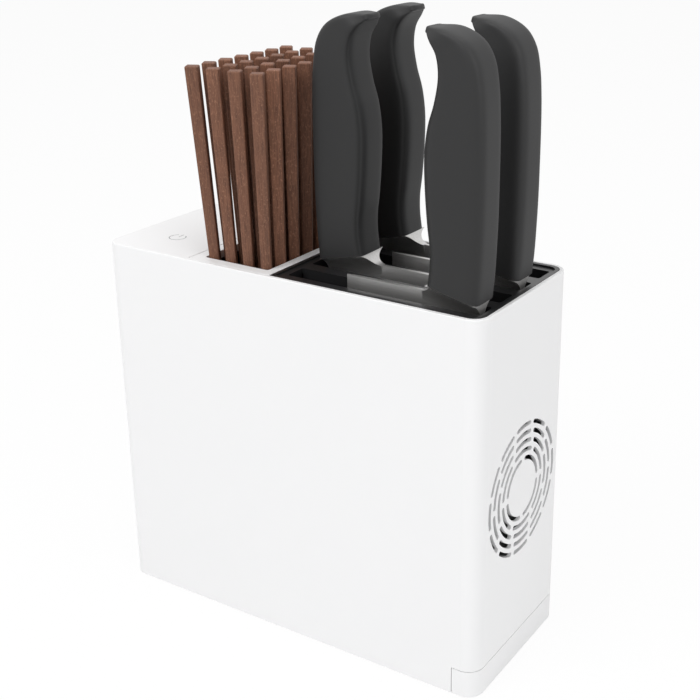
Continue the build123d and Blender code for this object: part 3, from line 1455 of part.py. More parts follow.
with BuildPart() as lamp_ballast:
    with BuildSketch(Plane.YZ.offset(divider_x0)):
        with Locations((0, ballast_z)):
            RectangleRounded(ballast_length, ballast_height, board_corner)
    extrude(amount=-ballast_depth)
lamp_ballast.part.label = "lamp_ballast"
export_step(lamp_ballast.part, "parts/lamp_ballast.step")

# ---------------------------------------------------------------- power inlet in the back wall
inlet_face_y = half_depth - fit_gap
with BuildPart() as power_inlet:
    with BuildSketch(Plane.XZ.offset(-inlet_face_y)):
        with Locations((inlet_x, inlet_z)):
            RectangleRounded(inlet_width, inlet_height, inlet_corner)
    extrude(amount=inlet_depth)
    with BuildSketch(Plane.XZ.offset(-inner_y)):
        with Locations((inlet_x, inlet_z)):
            RectangleRounded(inlet_width + 2 * inlet_flange, inlet_height + 2 * inlet_flange, inlet_corner)
    extrude(amount=inlet_flange_thickness)
    with BuildSketch(Plane.XZ.offset(-inlet_face_y)):
        with Locations((inlet_x, inlet_z)):
            SlotOverall(socket_width, socket_height)
    extrude(amount=socket_depth, mode=Mode.SUBTRACT)
    with BuildSketch(Plane.XZ.offset(socket_depth - inlet_face_y)):
        with Locations((inlet_x, inlet_z)):
            with GridLocations(pin_spacing, pin_spacing, 2, 1):
                Circle(pin_radius)
    extrude(amount=inlet_depth - socket_depth, mode=Mode.SUBTRACT)
power_inlet.part.label = "power_inlet"
export_step(power_inlet.part, "parts/power_inlet.step")

with BuildPart() as inlet_pins:
    with BuildSketch(Plane.XZ.offset(socket_depth - inlet_face_y - pin_length)):
        with Locations((inlet_x, inlet_z)):
            with GridLocations(pin_spacing, pin_spacing, 2, 1):
                Circle(pin_radius)
    extrude(amount=inlet_depth - socket_depth + pin_length + pin_tail)
inlet_pins.part.label = "inlet_pins"
export_step(inlet_pins.part, "parts/inlet_pins.step")
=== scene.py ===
"""Knife and chopstick sterilizer box: finishes, knife handles, chopsticks and the power symbol, made around
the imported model."""

import json
import math

import bpy
import numpy as np
from mathutils import Matrix, Vector


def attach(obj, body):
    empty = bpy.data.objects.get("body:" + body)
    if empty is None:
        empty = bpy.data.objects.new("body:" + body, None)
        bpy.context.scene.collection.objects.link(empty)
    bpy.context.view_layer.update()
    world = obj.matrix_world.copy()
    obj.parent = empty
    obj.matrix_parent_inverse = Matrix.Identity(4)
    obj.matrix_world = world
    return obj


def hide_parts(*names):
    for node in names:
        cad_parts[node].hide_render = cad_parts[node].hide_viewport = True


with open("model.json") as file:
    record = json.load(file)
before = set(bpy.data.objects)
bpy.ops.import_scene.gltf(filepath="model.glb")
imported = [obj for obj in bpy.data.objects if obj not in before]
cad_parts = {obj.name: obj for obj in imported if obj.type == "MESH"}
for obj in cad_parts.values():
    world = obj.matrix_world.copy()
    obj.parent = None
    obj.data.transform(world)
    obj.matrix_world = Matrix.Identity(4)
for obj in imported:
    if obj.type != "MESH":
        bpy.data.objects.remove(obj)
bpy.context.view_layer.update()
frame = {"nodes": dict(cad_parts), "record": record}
MM = 0.001
random = np.random.default_rng(11)

# ---------------------------------------------------------------- camera
CAMERA_PLACE = (0.38505, -0.53290, 0.43433)
CAMERA_AZIMUTH = math.radians(30.8469)
CAMERA_ELEVATION = math.radians(19.6015)
CAMERA_ROLL = math.radians(0.2779)
CAMERA_LENS = 62.66
CAMERA_SHIFT = (-0.11696, -0.08929)


def make_camera():
    """A camera turned by azimuth, elevation and roll: its back axis points from the object to the camera."""
    azimuth, elevation, roll = CAMERA_AZIMUTH, CAMERA_ELEVATION, CAMERA_ROLL
    level_share = math.cos(elevation)
    back = Vector((math.sin(azimuth) * level_share, -math.cos(azimuth) * level_share, math.sin(elevation)))
    level = Vector((math.cos(azimuth), math.sin(azimuth), 0))
    upright = back.cross(level)
    right = math.cos(roll) * level + math.sin(roll) * upright
    up = -math.sin(roll) * level + math.cos(roll) * upright
    camera = bpy.data.objects.new("camera", bpy.data.cameras.new("camera"))
    camera.matrix_world = Matrix.Translation(CAMERA_PLACE) @ Matrix((right, up, back)).transposed().to_4x4()
    camera.data.lens = CAMERA_LENS
    camera.data.shift_x, camera.data.shift_y = CAMERA_SHIFT
    bpy.context.scene.collection.objects.link(camera)
    bpy.context.scene.camera = camera


make_camera()

# ---------------------------------------------------------------- shader building blocks


def add_node(tree, kind, **values):
    """Adds a node. A value whose name is a property of the node is set on it, any other on the input of that
    name."""
    node = tree.nodes.new(kind)
    for key, value in values.items():
        if key in node.bl_rna.properties:
            setattr(node, key, value)
        else:
            node.inputs[key.replace("_", " ")].default_value = value
    return node


def new_group(name, inputs, outputs):
    """A shader node group with inputs (label, kind, value) and outputs (label, kind)."""
    group = bpy.data.node_groups.new(name, "ShaderNodeTree")
    for label, kind, value in inputs:
        group.interface.new_socket(name=label, in_out="INPUT", socket_type=kind).default_value = value
    for label, kind in outputs:
        group.interface.new_socket(name=label, in_out="OUTPUT", socket_type=kind)
    return group, group.nodes.new("NodeGroupInput"), group.nodes.new("NodeGroupOutput")


FLOAT, COLOUR = "NodeSocketFloat", "NodeSocketColor"


def moulded_group():
    """Moulded plastic: a fine grain for the bump, slow cloudy changes of shade and gloss, and painted shade:
    the darker line colour where a piece's own edge shade attribute asks for it."""
    group, given, made = new_group(
        "moulded_plastic",
        [
            ("Color", COLOUR, (0.5, 0.5, 0.5, 1)),
            ("Shade", COLOUR, (0.45, 0.45, 0.45, 1)),
            ("Line", COLOUR, (0.0, 0.0, 0.0, 1)),
            ("Roughness", FLOAT, 0.5),
            ("Spread", FLOAT, 0.08),
            ("Grain", FLOAT, 1800.0),
            ("Cloud", FLOAT, 18.0),
        ],
        [("Color", COLOUR), ("Roughness", FLOAT), ("Height", FLOAT)],
    )
    place = add_node(group, "ShaderNodeTexCoord")
    grain = add_node(group, "ShaderNodeTexNoise", Detail=2.0, Roughness=0.6)
    cloud = add_node(group, "ShaderNodeTexNoise", Detail=3.0, Roughness=0.55)
    blend = add_node(group, "ShaderNodeMix", data_type="RGBA")
    line = add_node(group, "ShaderNodeAttribute", attribute_name="painted_edge_shade")
    painted_shade_mix = add_node(group, "ShaderNodeMix", data_type="RGBA")
    gloss = add_node(group, "ShaderNodeMath", operation="MULTIPLY_ADD")
    centred = add_node(group, "ShaderNodeMath", operation="SUBTRACT")
    centred.inputs[1].default_value = 0.5
    link = group.links.new
    link(place.outputs["Object"], grain.inputs["Vector"])
    link(place.outputs["Object"], cloud.inputs["Vector"])
    link(given.outputs["Grain"], grain.inputs["Scale"])
    link(given.outputs["Cloud"], cloud.inputs["Scale"])
    link(cloud.outputs["Fac"], blend.inputs["Factor"])
    link(given.outputs["Color"], blend.inputs["A"])
    link(given.outputs["Shade"], blend.inputs["B"])
    link(cloud.outputs["Fac"], centred.inputs[0])
    link(centred.outputs[0], gloss.inputs[0])
    link(given.outputs["Spread"], gloss.inputs[1])
    link(given.outputs["Roughness"], gloss.inputs[2])
    link(line.outputs["Fac"], painted_shade_mix.inputs["Factor"])
    link(blend.outputs["Result"], painted_shade_mix.inputs["A"])
    link(given.outputs["Line"], painted_shade_mix.inputs["B"])
    link(painted_shade_mix.outputs["Result"], made.inputs["Color"])
    link(gloss.outputs[0], made.inputs["Roughness"])
    link(grain.outputs["Fac"], made.inputs["Height"])
    return group


def brushed_group():
    """Brushed metal: noise stretched along one direction, as colour and gloss streaks and fine grooves."""
    group, given, made = new_group(
        "brushed_metal",
        [
            ("Color", COLOUR, (0.62, 0.62, 0.63, 1)),
            ("Streak", COLOUR, (0.5, 0.5, 0.51, 1)),
            ("Roughness", FLOAT, 0.3),
            ("Spread", FLOAT, 0.15),
            ("Along", FLOAT, 14.0),
            ("Across", FLOAT, 1500.0),
        ],
        [("Color", COLOUR), ("Roughness", FLOAT), ("Height", FLOAT)],
    )
    place = add_node(group, "ShaderNodeTexCoord")
    scale = add_node(group, "ShaderNodeCombineXYZ")
    stretch = add_node(group, "ShaderNodeVectorMath", operation="MULTIPLY")
    streak = add_node(group, "ShaderNodeTexNoise", Scale=1.0, Detail=4.0, Roughness=0.65)
    blend = add_node(group, "ShaderNodeMix", data_type="RGBA")
    gloss = add_node(group, "ShaderNodeMath", operation="MULTIPLY_ADD")
    link = group.links.new
    link(given.outputs["Along"], scale.inputs["X"])
    link(given.outputs["Across"], scale.inputs["Y"])
    link(given.outputs["Across"], scale.inputs["Z"])
    link(place.outputs["Object"], stretch.inputs[0])
    link(scale.outputs["Vector"], stretch.inputs[1])
    link(stretch.outputs["Vector"], streak.inputs["Vector"])
    link(streak.outputs["Fac"], blend.inputs["Factor"])
    link(given.outputs["Color"], blend.inputs["A"])
    link(given.outputs["Streak"], blend.inputs["B"])
    link(streak.outputs["Fac"], gloss.inputs[0])
    link(given.outputs["Spread"], gloss.inputs[1])
    link(given.outputs["Roughness"], gloss.inputs[2])
    link(blend.outputs["Result"], made.inputs["Color"])
    link(gloss.outputs[0], made.inputs["Roughness"])
    link(streak.outputs["Fac"], made.inputs["Height"])
    return group


# Noise scales across, aside and along a stick, and the share of the noise that shows
FIBRE_SCALE, FIBRE_FROM, FIBRE_TO = (1500.0, 1500.0, 110.0), 0.38, 0.66
FLECK_SCALE, FLECK_FROM, FLECK_TO = (1500.0, 1500.0, 750.0), 0.56, 0.72


def wood_group():
    """Dark hardwood: long dark fibres with short pale flecks, and a shade of its own for each stick."""
    group, given, made = new_group(
        "hardwood",
        [
            ("Color", COLOUR, (0.2, 0.09, 0.055, 1)),
            ("Fibre", COLOUR, (0.115, 0.047, 0.026, 1)),
            ("Fleck", COLOUR, (0.3, 0.14, 0.08, 1)),
            ("Roughness", FLOAT, 0.55),
            ("Spread", FLOAT, 0.2),
        ],
        [("Color", COLOUR), ("Roughness", FLOAT), ("Height", FLOAT)],
    )
    place = add_node(group, "ShaderNodeAttribute", attribute_name="grain_place")
    own = add_node(group, "ShaderNodeAttribute", attribute_name="stick_shade")
    fibre_scale = add_node(group, "ShaderNodeVectorMath", operation="MULTIPLY")
    fibre_scale.inputs[1].default_value = FIBRE_SCALE
    fibre = add_node(group, "ShaderNodeTexNoise", Scale=1.0, Detail=4.0, Roughness=0.7)
    fleck_scale = add_node(group, "ShaderNodeVectorMath", operation="MULTIPLY")
    fleck_scale.inputs[1].default_value = FLECK_SCALE
    fleck = add_node(group, "ShaderNodeTexNoise", Scale=1.0, Detail=2.0, Roughness=0.5)
    fibre_mask = add_node(group, "ShaderNodeMapRange", From_Min=FIBRE_FROM, From_Max=FIBRE_TO)
    fleck_mask = add_node(group, "ShaderNodeMapRange", From_Min=FLECK_FROM, From_Max=FLECK_TO)
    first = add_node(group, "ShaderNodeMix", data_type="RGBA")
    second = add_node(group, "ShaderNodeMix", data_type="RGBA")
    shade = add_node(group, "ShaderNodeHueSaturation")
    gloss = add_node(group, "ShaderNodeMath", operation="MULTIPLY_ADD")
    link = group.links.new
    link(place.outputs["Vector"], fibre_scale.inputs[0])
    link(place.outputs["Vector"], fleck_scale.inputs[0])
    link(fibre_scale.outputs["Vector"], fibre.inputs["Vector"])
    link(fleck_scale.outputs["Vector"], fleck.inputs["Vector"])
    link(fibre.outputs["Fac"], fibre_mask.inputs["Value"])
    link(fleck.outputs["Fac"], fleck_mask.inputs["Value"])
    link(fibre_mask.outputs["Result"], first.inputs["Factor"])
    link(given.outputs["Color"], first.inputs["A"])
    link(given.outputs["Fibre"], first.inputs["B"])
    link(fleck_mask.outputs["Result"], second.inputs["Factor"])
    link(first.outputs["Result"], second.inputs["A"])
    link(given.outputs["Fleck"], second.inputs["B"])
    link(second.outputs["Result"], shade.inputs["Color"])
    link(own.outputs["Fac"], shade.inputs["Value"])
    link(fibre.outputs["Fac"], gloss.inputs[0])
    link(given.outputs["Spread"], gloss.inputs[1])
    link(given.outputs["Roughness"], gloss.inputs[2])
    link(shade.outputs["Color"], made.inputs["Color"])
    link(gloss.outputs[0], made.inputs["Roughness"])
    link(fibre.outputs["Fac"], made.inputs["Height"])
    return group


MOULDED, BRUSHED, WOOD = moulded_group(), brushed_group(), wood_group()
# Share of a plastic's colour used for the shade painted along the handles' moulded line
PAINTED_LINE_SHADE = 0.3


def finish(name, group, bump=0.1, bump_distance=0.0001, shader=None, **values):
    """A material: one group's colour, gloss and height on a Principled shader. The values in shader are set on
    its own sockets."""
    material = bpy.data.materials.new(name)
    material.use_nodes = True
    tree = material.node_tree
    surface = tree.nodes["Principled BSDF"]
    for key, value in (shader or {}).items():
        surface.inputs[key].default_value = value
    pattern = add_node(tree, "ShaderNodeGroup", node_tree=group)
    for key, value in values.items():
        pattern.inputs[key].default_value = (*value, 1) if isinstance(value, tuple) else value
    relief = add_node(tree, "ShaderNodeBump", Strength=bump, Distance=bump_distance)
    tree.links.new(pattern.outputs["Color"], surface.inputs["Base Color"])
    tree.links.new(pattern.outputs["Roughness"], surface.inputs["Roughness"])
    tree.links.new(pattern.outputs["Height"], relief.inputs["Height"])
    tree.links.new(relief.outputs["Normal"], surface.inputs["Normal"])
    material.diffuse_color = (*values.get("Color", (0.5, 0.5, 0.5)), 1)
    return material


def plastic(name, colour, shade=0.94, roughness=0.45, spread=0.1, bump=0.12, **shader):
    """Moulded plastic whose cloudy second colour is the first one times shade, and whose painted shade colour,
    for the handles' moulded line, is the first one times the painted line share above."""
    return finish(
        name,
        MOULDED,
        bump,
        shader=shader,
        Color=colour,
        Shade=tuple(shade * c for c in colour),
        Line=tuple(PAINTED_LINE_SHADE * c for c in colour),
        Roughness=roughness,
        Spread=spread,
    )


def metal(name, colour, streak, roughness, spread, along, across, bump=0.12, metallic=1.0):
    """Bare metal with streaks along X in the first colour times streak. Along and across are noise scales."""
    return finish(
        name,
        BRUSHED,
        bump,
        shader={"Metallic": metallic},
        Color=colour,
        Streak=tuple(streak * c for c in colour),
        Roughness=roughness,
        Spread=spread,
        Along=along,
        Across=across,
    )


FINISHES = {
    "white_plastic": plastic(
        "satin_white_plastic", (0.86, 0.86, 0.865), shade=0.985, roughness=0.42, spread=0.06, bump=0.06
    ),
    "grey_plastic": plastic("matt_grey_plastic", (0.5, 0.51, 0.52), shade=0.93, roughness=0.55),
    "black_plastic": plastic(
        "satin_black_plastic", (0.018, 0.018, 0.019), shade=0.8, roughness=0.3, spread=0.1, bump=0.05
    ),
    "handle_plastic": plastic(
        "satin_handle_plastic",
        (0.0165, 0.0165, 0.017),
        shade=0.93,
        roughness=0.55,
        spread=0.08,
        bump=0.08,
        **{"Specular IOR Level": 0.4},
    ),
    "steel": metal(
        "brushed_blade_steel",
        (0.71, 0.7, 0.69),
        streak=0.7,
        roughness=0.3,
        spread=0.18,
        along=30.0,
        across=900.0,
        bump=0.2,
        metallic=0.9,
    ),
    "screw_steel": metal(
        "zinc_plated_steel",
        (0.55, 0.55, 0.56),
        streak=0.85,
        roughness=0.32,
        spread=0.1,
        along=700.0,
        across=700.0,
    ),
    "wood": finish("dark_hardwood", WOOD, bump=0.35, bump_distance=0.0002, Color=(0.215, 0.089, 0.047)),
    "rubber": plastic("black_rubber", (0.03, 0.03, 0.03), shade=0.85, roughness=0.75),
    "silicone": plastic("grey_silicone", (0.12, 0.12, 0.13), shade=0.9, roughness=0.5),
    "fan_plastic": plastic("black_fan_plastic", (0.022, 0.022, 0.023), shade=0.85, roughness=0.4),
    "brass": metal(
        "turned_brass", (0.75, 0.55, 0.26), streak=0.85, roughness=0.25, spread=0.1, along=900.0, across=900.0
    ),
    "copper_winding": metal(
        "enamelled_copper",
        (0.6, 0.24, 0.1),
        streak=0.55,
        roughness=0.3,
        spread=0.2,
        along=60.0,
        across=2400.0,
        bump=0.5,
    ),
    "aluminium": metal(
        "plain_aluminium", (0.78, 0.79, 0.8), streak=0.9, roughness=0.35, spread=0.1, along=40.0, across=900.0
    ),
    "heater_plastic": plastic("heat_proof_plastic", (0.7, 0.67, 0.58), shade=0.92, roughness=0.6),
    "board_green": plastic(
        "green_solder_mask", (0.02, 0.13, 0.06), shade=0.6, roughness=0.25, spread=0.15
    ),
    "board_parts": plastic("dark_moulded_packages", (0.06, 0.06, 0.065), shade=0.8, roughness=0.45),
    "ceramic": plastic("white_ceramic", (0.78, 0.77, 0.74), shade=0.95, roughness=0.35),
    "ballast_case": plastic("dark_ballast_case", (0.08, 0.08, 0.085), shade=0.85, roughness=0.5),
    "inlet_plastic": plastic("black_inlet_plastic", (0.022, 0.022, 0.022), shade=0.85, roughness=0.5),
    "lamp_glass": plastic(
        "quartz_glass",
        (0.93, 0.95, 0.99),
        shade=0.97,
        roughness=0.06,
        spread=0.04,
        bump=0.02,
        **{"Transmission Weight": 1.0, "IOR": 1.46},
    ),
}

for part in frame["record"]["subparts"]:
    slots = frame["nodes"][part["node"]].data.materials
    slots.clear()
    slots.append(FINISHES[part["material_slot"]])

# ---------------------------------------------------------------- surfaces from numpy


def through(points, count):
    """Count points on the smooth Catmull-Rom line that runs through the given points, shared evenly between
    them."""
    points = np.asarray(points, float)
    padded = np.vstack((2 * points[0] - points[1], points, 2 * points[-1] - points[-2]))
    share = np.linspace(0, len(points) - 1, count)
    index = np.minimum(share.astype(int), len(points) - 2)
    t = (share - index)[:, None]
    a, b, c, d = (padded[index + k] for k in range(4))
    return 0.5 * (2 * b + (c - a) * t + (2 * a - 5 * b + 4 * c - d) * t**2 + (3 * b - a - 3 * c + d) * t**3)


def superellipse(count, power):
    """Unit rounded rectangle: cosine and sine raised to 2/power, with their signs kept."""
    angle = np.linspace(0, 2 * math.pi, count, endpoint=False)
    cosine, sine = np.cos(angle), np.sin(angle)
    return np.sign(cosine) * abs(cosine) ** (2 / power), np.sign(sine) * abs(sine) ** (2 / power)


def ring_faces(rings, around, start=0):
    """Faces of a closed tube of rings, with a fan of triangles to a pole vertex at each end."""
    i, j = np.meshgrid(np.arange(rings - 1), np.arange(around), indexing="ij")
    k = (j + 1) % around
    quads = np.stack((i * around + j, i * around + k, (i + 1) * around + k, (i + 1) * around + j), -1)
    j = np.arange(around)
    k = (j + 1) % around
    low, high, top = rings * around, rings * around + 1, (rings - 1) * around
    first = np.stack((np.full(around, low), k, j), -1)
    last = np.stack((np.full(around, high), top + j, top + k), -1)
    parts = (quads.reshape(-1, 4), first, last)
    return [tuple(corner + start for corner in face) for part in parts for face in part.tolist()]


def make_piece(name, tubes, body, material, sharp=40.0, attributes=None):
    """One mesh piece from closed tubes. Each tube is an array of rings (rings, around, 3) in millimetres."""
    points, faces = [], []
    for rings in tubes:
        start = sum(len(p) for p in points)
        faces += ring_faces(rings.shape[0], rings.shape[1], start)
        points.append(np.vstack((rings.reshape(-1, 3), rings[0].mean(0), rings[-1].mean(0))))
    mesh = bpy.data.meshes.new(name)
    mesh.from_pydata((np.vstack(points) * MM).tolist(), [], faces)
    mesh.polygons.foreach_set("use_smooth", np.ones(len(mesh.polygons), bool))
    for label, (kind, key, values) in (attributes or {}).items():
        attribute = mesh.attributes.new(label, kind, "POINT")
        attribute.data.foreach_set(key, np.asarray(values, np.float32).ravel())
    mesh.update()
    mesh.set_sharp_from_angle(angle=math.radians(sharp))
    mesh.materials.append(material)
    piece = bpy.data.objects.new(name, mesh)
    bpy.context.scene.collection.objects.link(piece)
    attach(piece, body)
    return piece


# ---------------------------------------------------------------- knife handles
HEEL_Z = 225.0
HANDLE_THICKNESS = 23.0
HANDLE_POWER = 5.6
SLOT_ROWS = (-33.0, -11.0, 11.0, 33.0)
RIGHT_SPINE_X = 118.0
LEFT_SPINE_X = 6.1
# Outline of a handle in the knife's plane: (across from the spine, up from the heel), from the bolster to the
# hooked tip
FINGER_SIDE = (
    (29.8, 6.4), (28.5, 16), (28.4, 26), (29.9, 38), (31.3, 55), (31.7, 72), (29.9, 86), (26.2, 98),
    (24.0, 110), (25.0, 120), (28.5, 126.5), (32.0, 130.2),
)
SPINE_SIDE = (
    (0.3, 0.1), (-0.7, 12), (-1.3, 26), (-1.8, 42), (-2.0, 60), (-2.0, 78), (-1.6, 94), (-0.4, 108),
    (2.4, 119.8), (8.8, 128.2), (19.8, 133.0), (31.0, 133.6),
)
# Share of HANDLE_THICKNESS at the same points
THICKNESS = (0.95, 0.97, 0.99, 1.0, 1.0, 1.0, 1.0, 1.0, 1.0, 0.99, 0.95, 0.62)
# Shallow moulded line along both faces, just inside the finger side's corners: a real dip, with painted shade
# darkening its colour as well; it fades out over LINE_FADE of the handle's length, and is gone at LINE_END of
# it
LINE_ANGLE, LINE_WIDTH, LINE_DEPTH = math.radians(50), math.radians(8), 0.03
LINE_END, LINE_FADE = 0.93, 0.14
# The last TIP_SHARE of the handle is drawn back by TIP_BACK, and TIP_RIBS ribs close it with a bulge
TIP_START, TIP_SHARE, TIP_RIBS = 0.9, 0.1, 10
TIP_BACK, TIP_BULGE = 0.7, 2.2


def handle_rings(row_y, spine_x, side, along=120, around=120):
    """Ribs of a hooked handle. Rib s is a rounded rectangle whose long axis is the chord from the finger side's
    point s to the spine side's point s, and whose thickness across the knife's plane follows THICKNESS;
    TIP_RIBS more shrinking ribs round the tip off. The moulded line is a dip of LINE_DEPTH at LINE_ANGLE, and
    its mask, returned with the rings, is where the handle's finish paints shade."""
    finger, spine = through(FINGER_SIDE, along), through(SPINE_SIDE, along)
    thick = through([(t, 0) for t in THICKNESS], along)[:, 0] * HANDLE_THICKNESS / 2
    middle, half = (finger + spine) / 2, (finger - spine) / 2
    ahead = middle[-1] - middle[-2]
    ahead /= np.hypot(*ahead)
    fall = np.clip((np.linspace(0, 1, along)[:, None] - TIP_START) / TIP_SHARE, 0, 1) ** 2
    middle = middle - TIP_BACK * fall * ahead
    tip = middle[-1] + TIP_BULGE * ahead
    turn = np.linspace(0, math.pi / 2, TIP_RIBS + 2)[1:-1]
    middle = np.vstack((middle, middle[-1] + (tip - middle[-1]) * np.sin(turn)[:, None]))
    half = np.vstack((half, half[-1] * np.cos(turn)[:, None]))
    thick = np.concatenate((thick, thick[-1] * np.cos(turn)))
    cosine, sine = superellipse(around, HANDLE_POWER)
    angle = np.linspace(0, 2 * math.pi, around, endpoint=False)
    angle = np.minimum(angle, 2 * math.pi - angle)
    share = np.linspace(0, 1, len(thick))
    fade = np.clip((LINE_END - share) / LINE_FADE, 0, 1)
    line = fade[:, None] * np.exp(-(((angle - LINE_ANGLE) / LINE_WIDTH) ** 2))[None]
    dip = 1 - LINE_DEPTH * line
    across = middle[:, None] + half[:, None] * cosine[None, :, None]
    x = spine_x + side * across[..., 0]
    z = HEEL_Z + across[..., 1]
    y = row_y + thick[:, None] * dip * sine[None, :] * -side
    return np.stack((x, y, z), -1), np.concatenate((line.ravel(), line[0, :1] * 0, line[0, :1] * 0))


for number, row_y in enumerate(SLOT_ROWS, start=1):
    spine_x, side = (RIGHT_SPINE_X, -1) if number % 2 else (LEFT_SPINE_X, 1)
    rings, line = handle_rings(row_y, spine_x, side)
    piece = make_piece(
        f"knife_{number}_grip",
        [rings],
        f"knife_{number}",
        FINISHES["handle_plastic"],
        # The line's mask as an attribute, where the handle finish paints shade
        attributes={"painted_edge_shade": ("FLOAT", "value", line)},
    )
    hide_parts(f"knife_{number}_handle")

# ---------------------------------------------------------------- chopsticks
STICK_COLUMNS, STICK_ROWS = 4, 7
STICK_HEAD, STICK_TIP, STICK_BEVEL = 7.2, 3.8, 0.5
STICK_HEAD_POWER, STICK_TIP_POWER = 11.0, 7.0
STICK_BODY_START, STICK_BODY_END = 0.02, 0.98
STICK_TURN = math.radians(30)
STICK_LEAN_LEFT, STICK_LEAN_RIGHT = -7.0, 0.6
STICK_LEAN_FRONT, STICK_LEAN_BACK = -1.8, 5.4
BASKET_SIZE_X, BASKET_SIZE_Y, STICK_MARGIN = 44.5, 83.0, 4.0
STICK_PITCH_X = (BASKET_SIZE_X - 2 * STICK_MARGIN) / (STICK_COLUMNS - 1)
STICK_PITCH_Y = (BASKET_SIZE_Y - 2 * STICK_MARGIN) / (STICK_ROWS - 1)
BASKET_MIDDLE_X = -34.25
STICK_BOTTOM_Z, STICK_LENGTH, BOX_HEIGHT = 87.3, 240.0, 221.0
# Each stick's own place in the grain, in metres either way, and its own shade
GRAIN_SHIFT, SHADE_LOW, SHADE_HIGH = 3, 0.82, 1.15


def stick_rings(column, row, along=10, around=24):
    """A tapered stick: its section is a rounded square turned by STICK_TURN, its two ends are bevelled by
    shrinking the last ring, and the sticks fan out upwards."""
    below = (BOX_HEIGHT - STICK_BOTTOM_Z) / STICK_LENGTH
    rim = np.array(
        (
            BASKET_MIDDLE_X + (column - (STICK_COLUMNS - 1) / 2) * STICK_PITCH_X,
            (row - (STICK_ROWS - 1) / 2) * STICK_PITCH_Y,
        )
    )
    out = np.array(
        (
            STICK_LEAN_LEFT + (STICK_LEAN_RIGHT - STICK_LEAN_LEFT) * column / (STICK_COLUMNS - 1),
            STICK_LEAN_FRONT + (STICK_LEAN_BACK - STICK_LEAN_FRONT) * row / (STICK_ROWS - 1),
        )
    )
    tip, head = rim - out * below / (1 - below), rim + out
    bevel = STICK_BEVEL / STICK_LENGTH
    body = np.linspace(STICK_BODY_START, STICK_BODY_END, along)
    share = np.concatenate(([0.0, bevel], body, [1 - bevel, 1.0]))
    half = (STICK_TIP + (STICK_HEAD - STICK_TIP) * share) / 2
    half[[0, -1]] -= STICK_BEVEL
    power = STICK_TIP_POWER + (STICK_HEAD_POWER - STICK_TIP_POWER) * share
    angle = np.linspace(0, 2 * math.pi, around, endpoint=False) + math.pi / around
    cosine, sine = np.cos(angle)[None], np.sin(angle)[None]
    across = np.sign(cosine) * abs(cosine) ** (2 / power[:, None]) * half[:, None]
    aside = np.sign(sine) * abs(sine) ** (2 / power[:, None]) * half[:, None]
    middle = tip + (head - tip) * share[:, None]
    z = STICK_BOTTOM_Z + STICK_LENGTH * share[:, None] + 0 * across
    turned_x = math.cos(STICK_TURN) * across - math.sin(STICK_TURN) * aside
    turned_y = math.sin(STICK_TURN) * across + math.cos(STICK_TURN) * aside
    rings = np.stack((middle[:, :1] + turned_x, middle[:, 1:] + turned_y, z), -1)
    grain = np.stack((across, aside, z), -1) * MM + random.uniform(-GRAIN_SHIFT, GRAIN_SHIFT, 3)
    return rings, grain


for column in range(STICK_COLUMNS):
    tubes, grains, shades = [], [], []
    for row in range(STICK_ROWS):
        rings, grain = stick_rings(column, row)
        tubes.append(rings)
        grains.append(np.vstack((grain.reshape(-1, 3), grain[0].mean(0), grain[-1].mean(0))))
        shades.append(np.full(len(grains[-1]), random.uniform(SHADE_LOW, SHADE_HIGH)))
    piece = make_piece(
        f"stick_column_{column + 1}",
        tubes,
        f"chopsticks_{column + 1}",
        FINISHES["wood"],
        sharp=30.0,
        attributes={
            "grain_place": ("FLOAT_VECTOR", "vector", np.vstack(grains)),
            "stick_shade": ("FLOAT", "value", np.concatenate(shades)),
        },
    )
    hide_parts(f"chopsticks_{column + 1}")

# ---------------------------------------------------------------- power symbol on the deck
MARK_PLACE = np.array((-94.8, -21.5, 221.0))
MARK_RADIUS, MARK_LINE, MARK_PROUD, MARK_GAP = 4.9, 0.5, 0.06, math.radians(32)
BAR_START, BAR_PAST_RING = 1.2, 0.6


def line_rings(path, around=12):
    """A flat raised line along a path in the deck's plane: an ellipse carried along it, MARK_LINE wide and
    MARK_PROUD high."""
    path = np.asarray(path, float)
    forward = np.gradient(path, axis=0)
    forward /= np.linalg.norm(forward, axis=1)[:, None]
    aside = np.stack((forward[:, 1], -forward[:, 0]), -1)
    angle = np.linspace(0, 2 * math.pi, around, endpoint=False)
    flat = path[:, None] + aside[:, None] * (np.cos(angle) * MARK_LINE / 2)[None, :, None]
    z = np.broadcast_to(np.sin(angle) * MARK_PROUD, flat.shape[:2])
    return np.concatenate((flat, z[..., None]), -1) + MARK_PLACE


turn = np.linspace(MARK_GAP, 2 * math.pi - MARK_GAP, 64)
ring_path = np.stack((np.sin(turn), np.cos(turn)), -1) * MARK_RADIUS
bar_path = np.stack((np.zeros(8), np.linspace(BAR_START, MARK_RADIUS + BAR_PAST_RING, 8)), -1)
MARK_FINISH = plastic("printed_grey_mark", (0.22, 0.22, 0.225), shade=0.95, roughness=0.5)
make_piece("power_mark", [line_rings(ring_path), line_rings(bar_path)], "housing", MARK_FINISH)

# ---------------------------------------------------------------- floor, lamps and world
FLOOR_HALF = 4.0
FLOOR_COLOUR = (0.9, 0.9, 0.9, 1)
WHITE = (1, 1, 1, 1)
# How much of the floor's look to the camera is plain white, the rest being lit and shaded
FLOOR_WHITE = 0.93
WORLD_LIGHT = 0.5
LAMP_AIM = Vector((0, 0, 0.15))


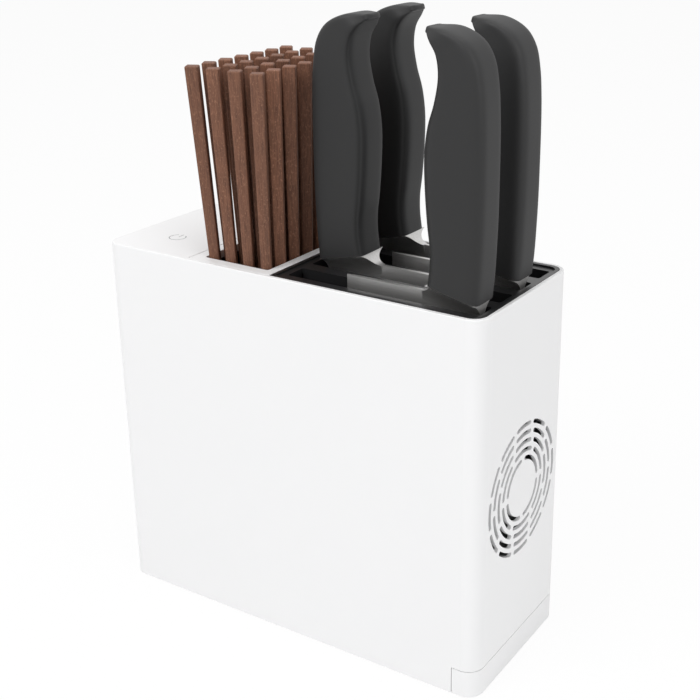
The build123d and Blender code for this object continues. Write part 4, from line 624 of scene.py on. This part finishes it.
def make_floor():
    """A pale plane under the object: a diffuse floor that looks white to the camera and still takes the
    shadow."""
    mesh = bpy.data.meshes.new("floor")
    half = FLOOR_HALF
    corners = [(-half, -half, 0), (half, -half, 0), (half, half, 0), (-half, half, 0)]
    mesh.from_pydata(corners, [], [(0, 1, 2, 3)])
    floor = bpy.data.objects.new("floor", mesh)
    bpy.context.scene.collection.objects.link(floor)
    material = bpy.data.materials.new("white_floor")
    material.use_nodes = True
    tree = material.node_tree
    tree.nodes.clear()
    path = tree.nodes.new("ShaderNodeLightPath")
    diffuse = add_node(tree, "ShaderNodeBsdfDiffuse", Color=FLOOR_COLOUR)
    white = add_node(tree, "ShaderNodeEmission", Color=WHITE, Strength=1.0)
    seen = add_node(tree, "ShaderNodeMath", operation="MAXIMUM")
    share = add_node(tree, "ShaderNodeMath", operation="MULTIPLY")
    share.inputs[1].default_value = FLOOR_WHITE
    mix = tree.nodes.new("ShaderNodeMixShader")
    out = tree.nodes.new("ShaderNodeOutputMaterial")
    tree.links.new(path.outputs["Is Camera Ray"], seen.inputs[0])
    tree.links.new(path.outputs["Is Glossy Ray"], seen.inputs[1])
    tree.links.new(seen.outputs[0], share.inputs[0])
    tree.links.new(share.outputs[0], mix.inputs["Fac"])
    tree.links.new(diffuse.outputs[0], mix.inputs[1])
    tree.links.new(white.outputs[0], mix.inputs[2])
    tree.links.new(mix.outputs[0], out.inputs["Surface"])
    mesh.materials.append(material)


def make_world():
    """A plain world: it lights the object at WORLD_LIGHT and looks white to the camera and in reflections."""
    world = bpy.data.worlds.new("studio")
    world.use_nodes = True
    tree = world.node_tree
    tree.nodes.clear()
    path = tree.nodes.new("ShaderNodeLightPath")
    seen = add_node(tree, "ShaderNodeMath", operation="MAXIMUM")
    through_glass = add_node(tree, "ShaderNodeMath", operation="MAXIMUM")
    dim = add_node(tree, "ShaderNodeBackground", Color=WHITE, Strength=WORLD_LIGHT)
    white = add_node(tree, "ShaderNodeBackground", Color=WHITE, Strength=1.0)
    mix = tree.nodes.new("ShaderNodeMixShader")
    out = tree.nodes.new("ShaderNodeOutputWorld")
    tree.links.new(path.outputs["Is Camera Ray"], seen.inputs[0])
    tree.links.new(path.outputs["Is Glossy Ray"], seen.inputs[1])
    tree.links.new(seen.outputs[0], through_glass.inputs[0])
    tree.links.new(path.outputs["Is Transmission Ray"], through_glass.inputs[1])
    tree.links.new(through_glass.outputs[0], mix.inputs["Fac"])
    tree.links.new(dim.outputs[0], mix.inputs[1])
    tree.links.new(white.outputs[0], mix.inputs[2])
    tree.links.new(mix.outputs[0], out.inputs["Surface"])
    bpy.context.scene.world = world


def make_lamp(name, place, size, power):
    """A square soft lamp of that size in metres, pointed at LAMP_AIM."""
    data = bpy.data.lights.new(name, "AREA")
    data.shape, data.size, data.energy = "SQUARE", size, power
    lamp = bpy.data.objects.new(name, data)
    place = Vector(place)
    turned = (place - LAMP_AIM).to_track_quat("Z", "Y").to_matrix().to_4x4()
    lamp.matrix_world = Matrix.Translation(place) @ turned
    bpy.context.scene.collection.objects.link(lamp)


make_floor()
make_world()
make_lamp("key", (-0.5, -1.3, 1.65), 1.2, 19.3)
make_lamp("fill", (1.6, -0.5, 1.0), 1.2, 9.0)
make_lamp("over", (0.1, 0.3, 2.0), 1.4, 9.0)
bpy.context.scene.view_settings.view_transform = "Standard"
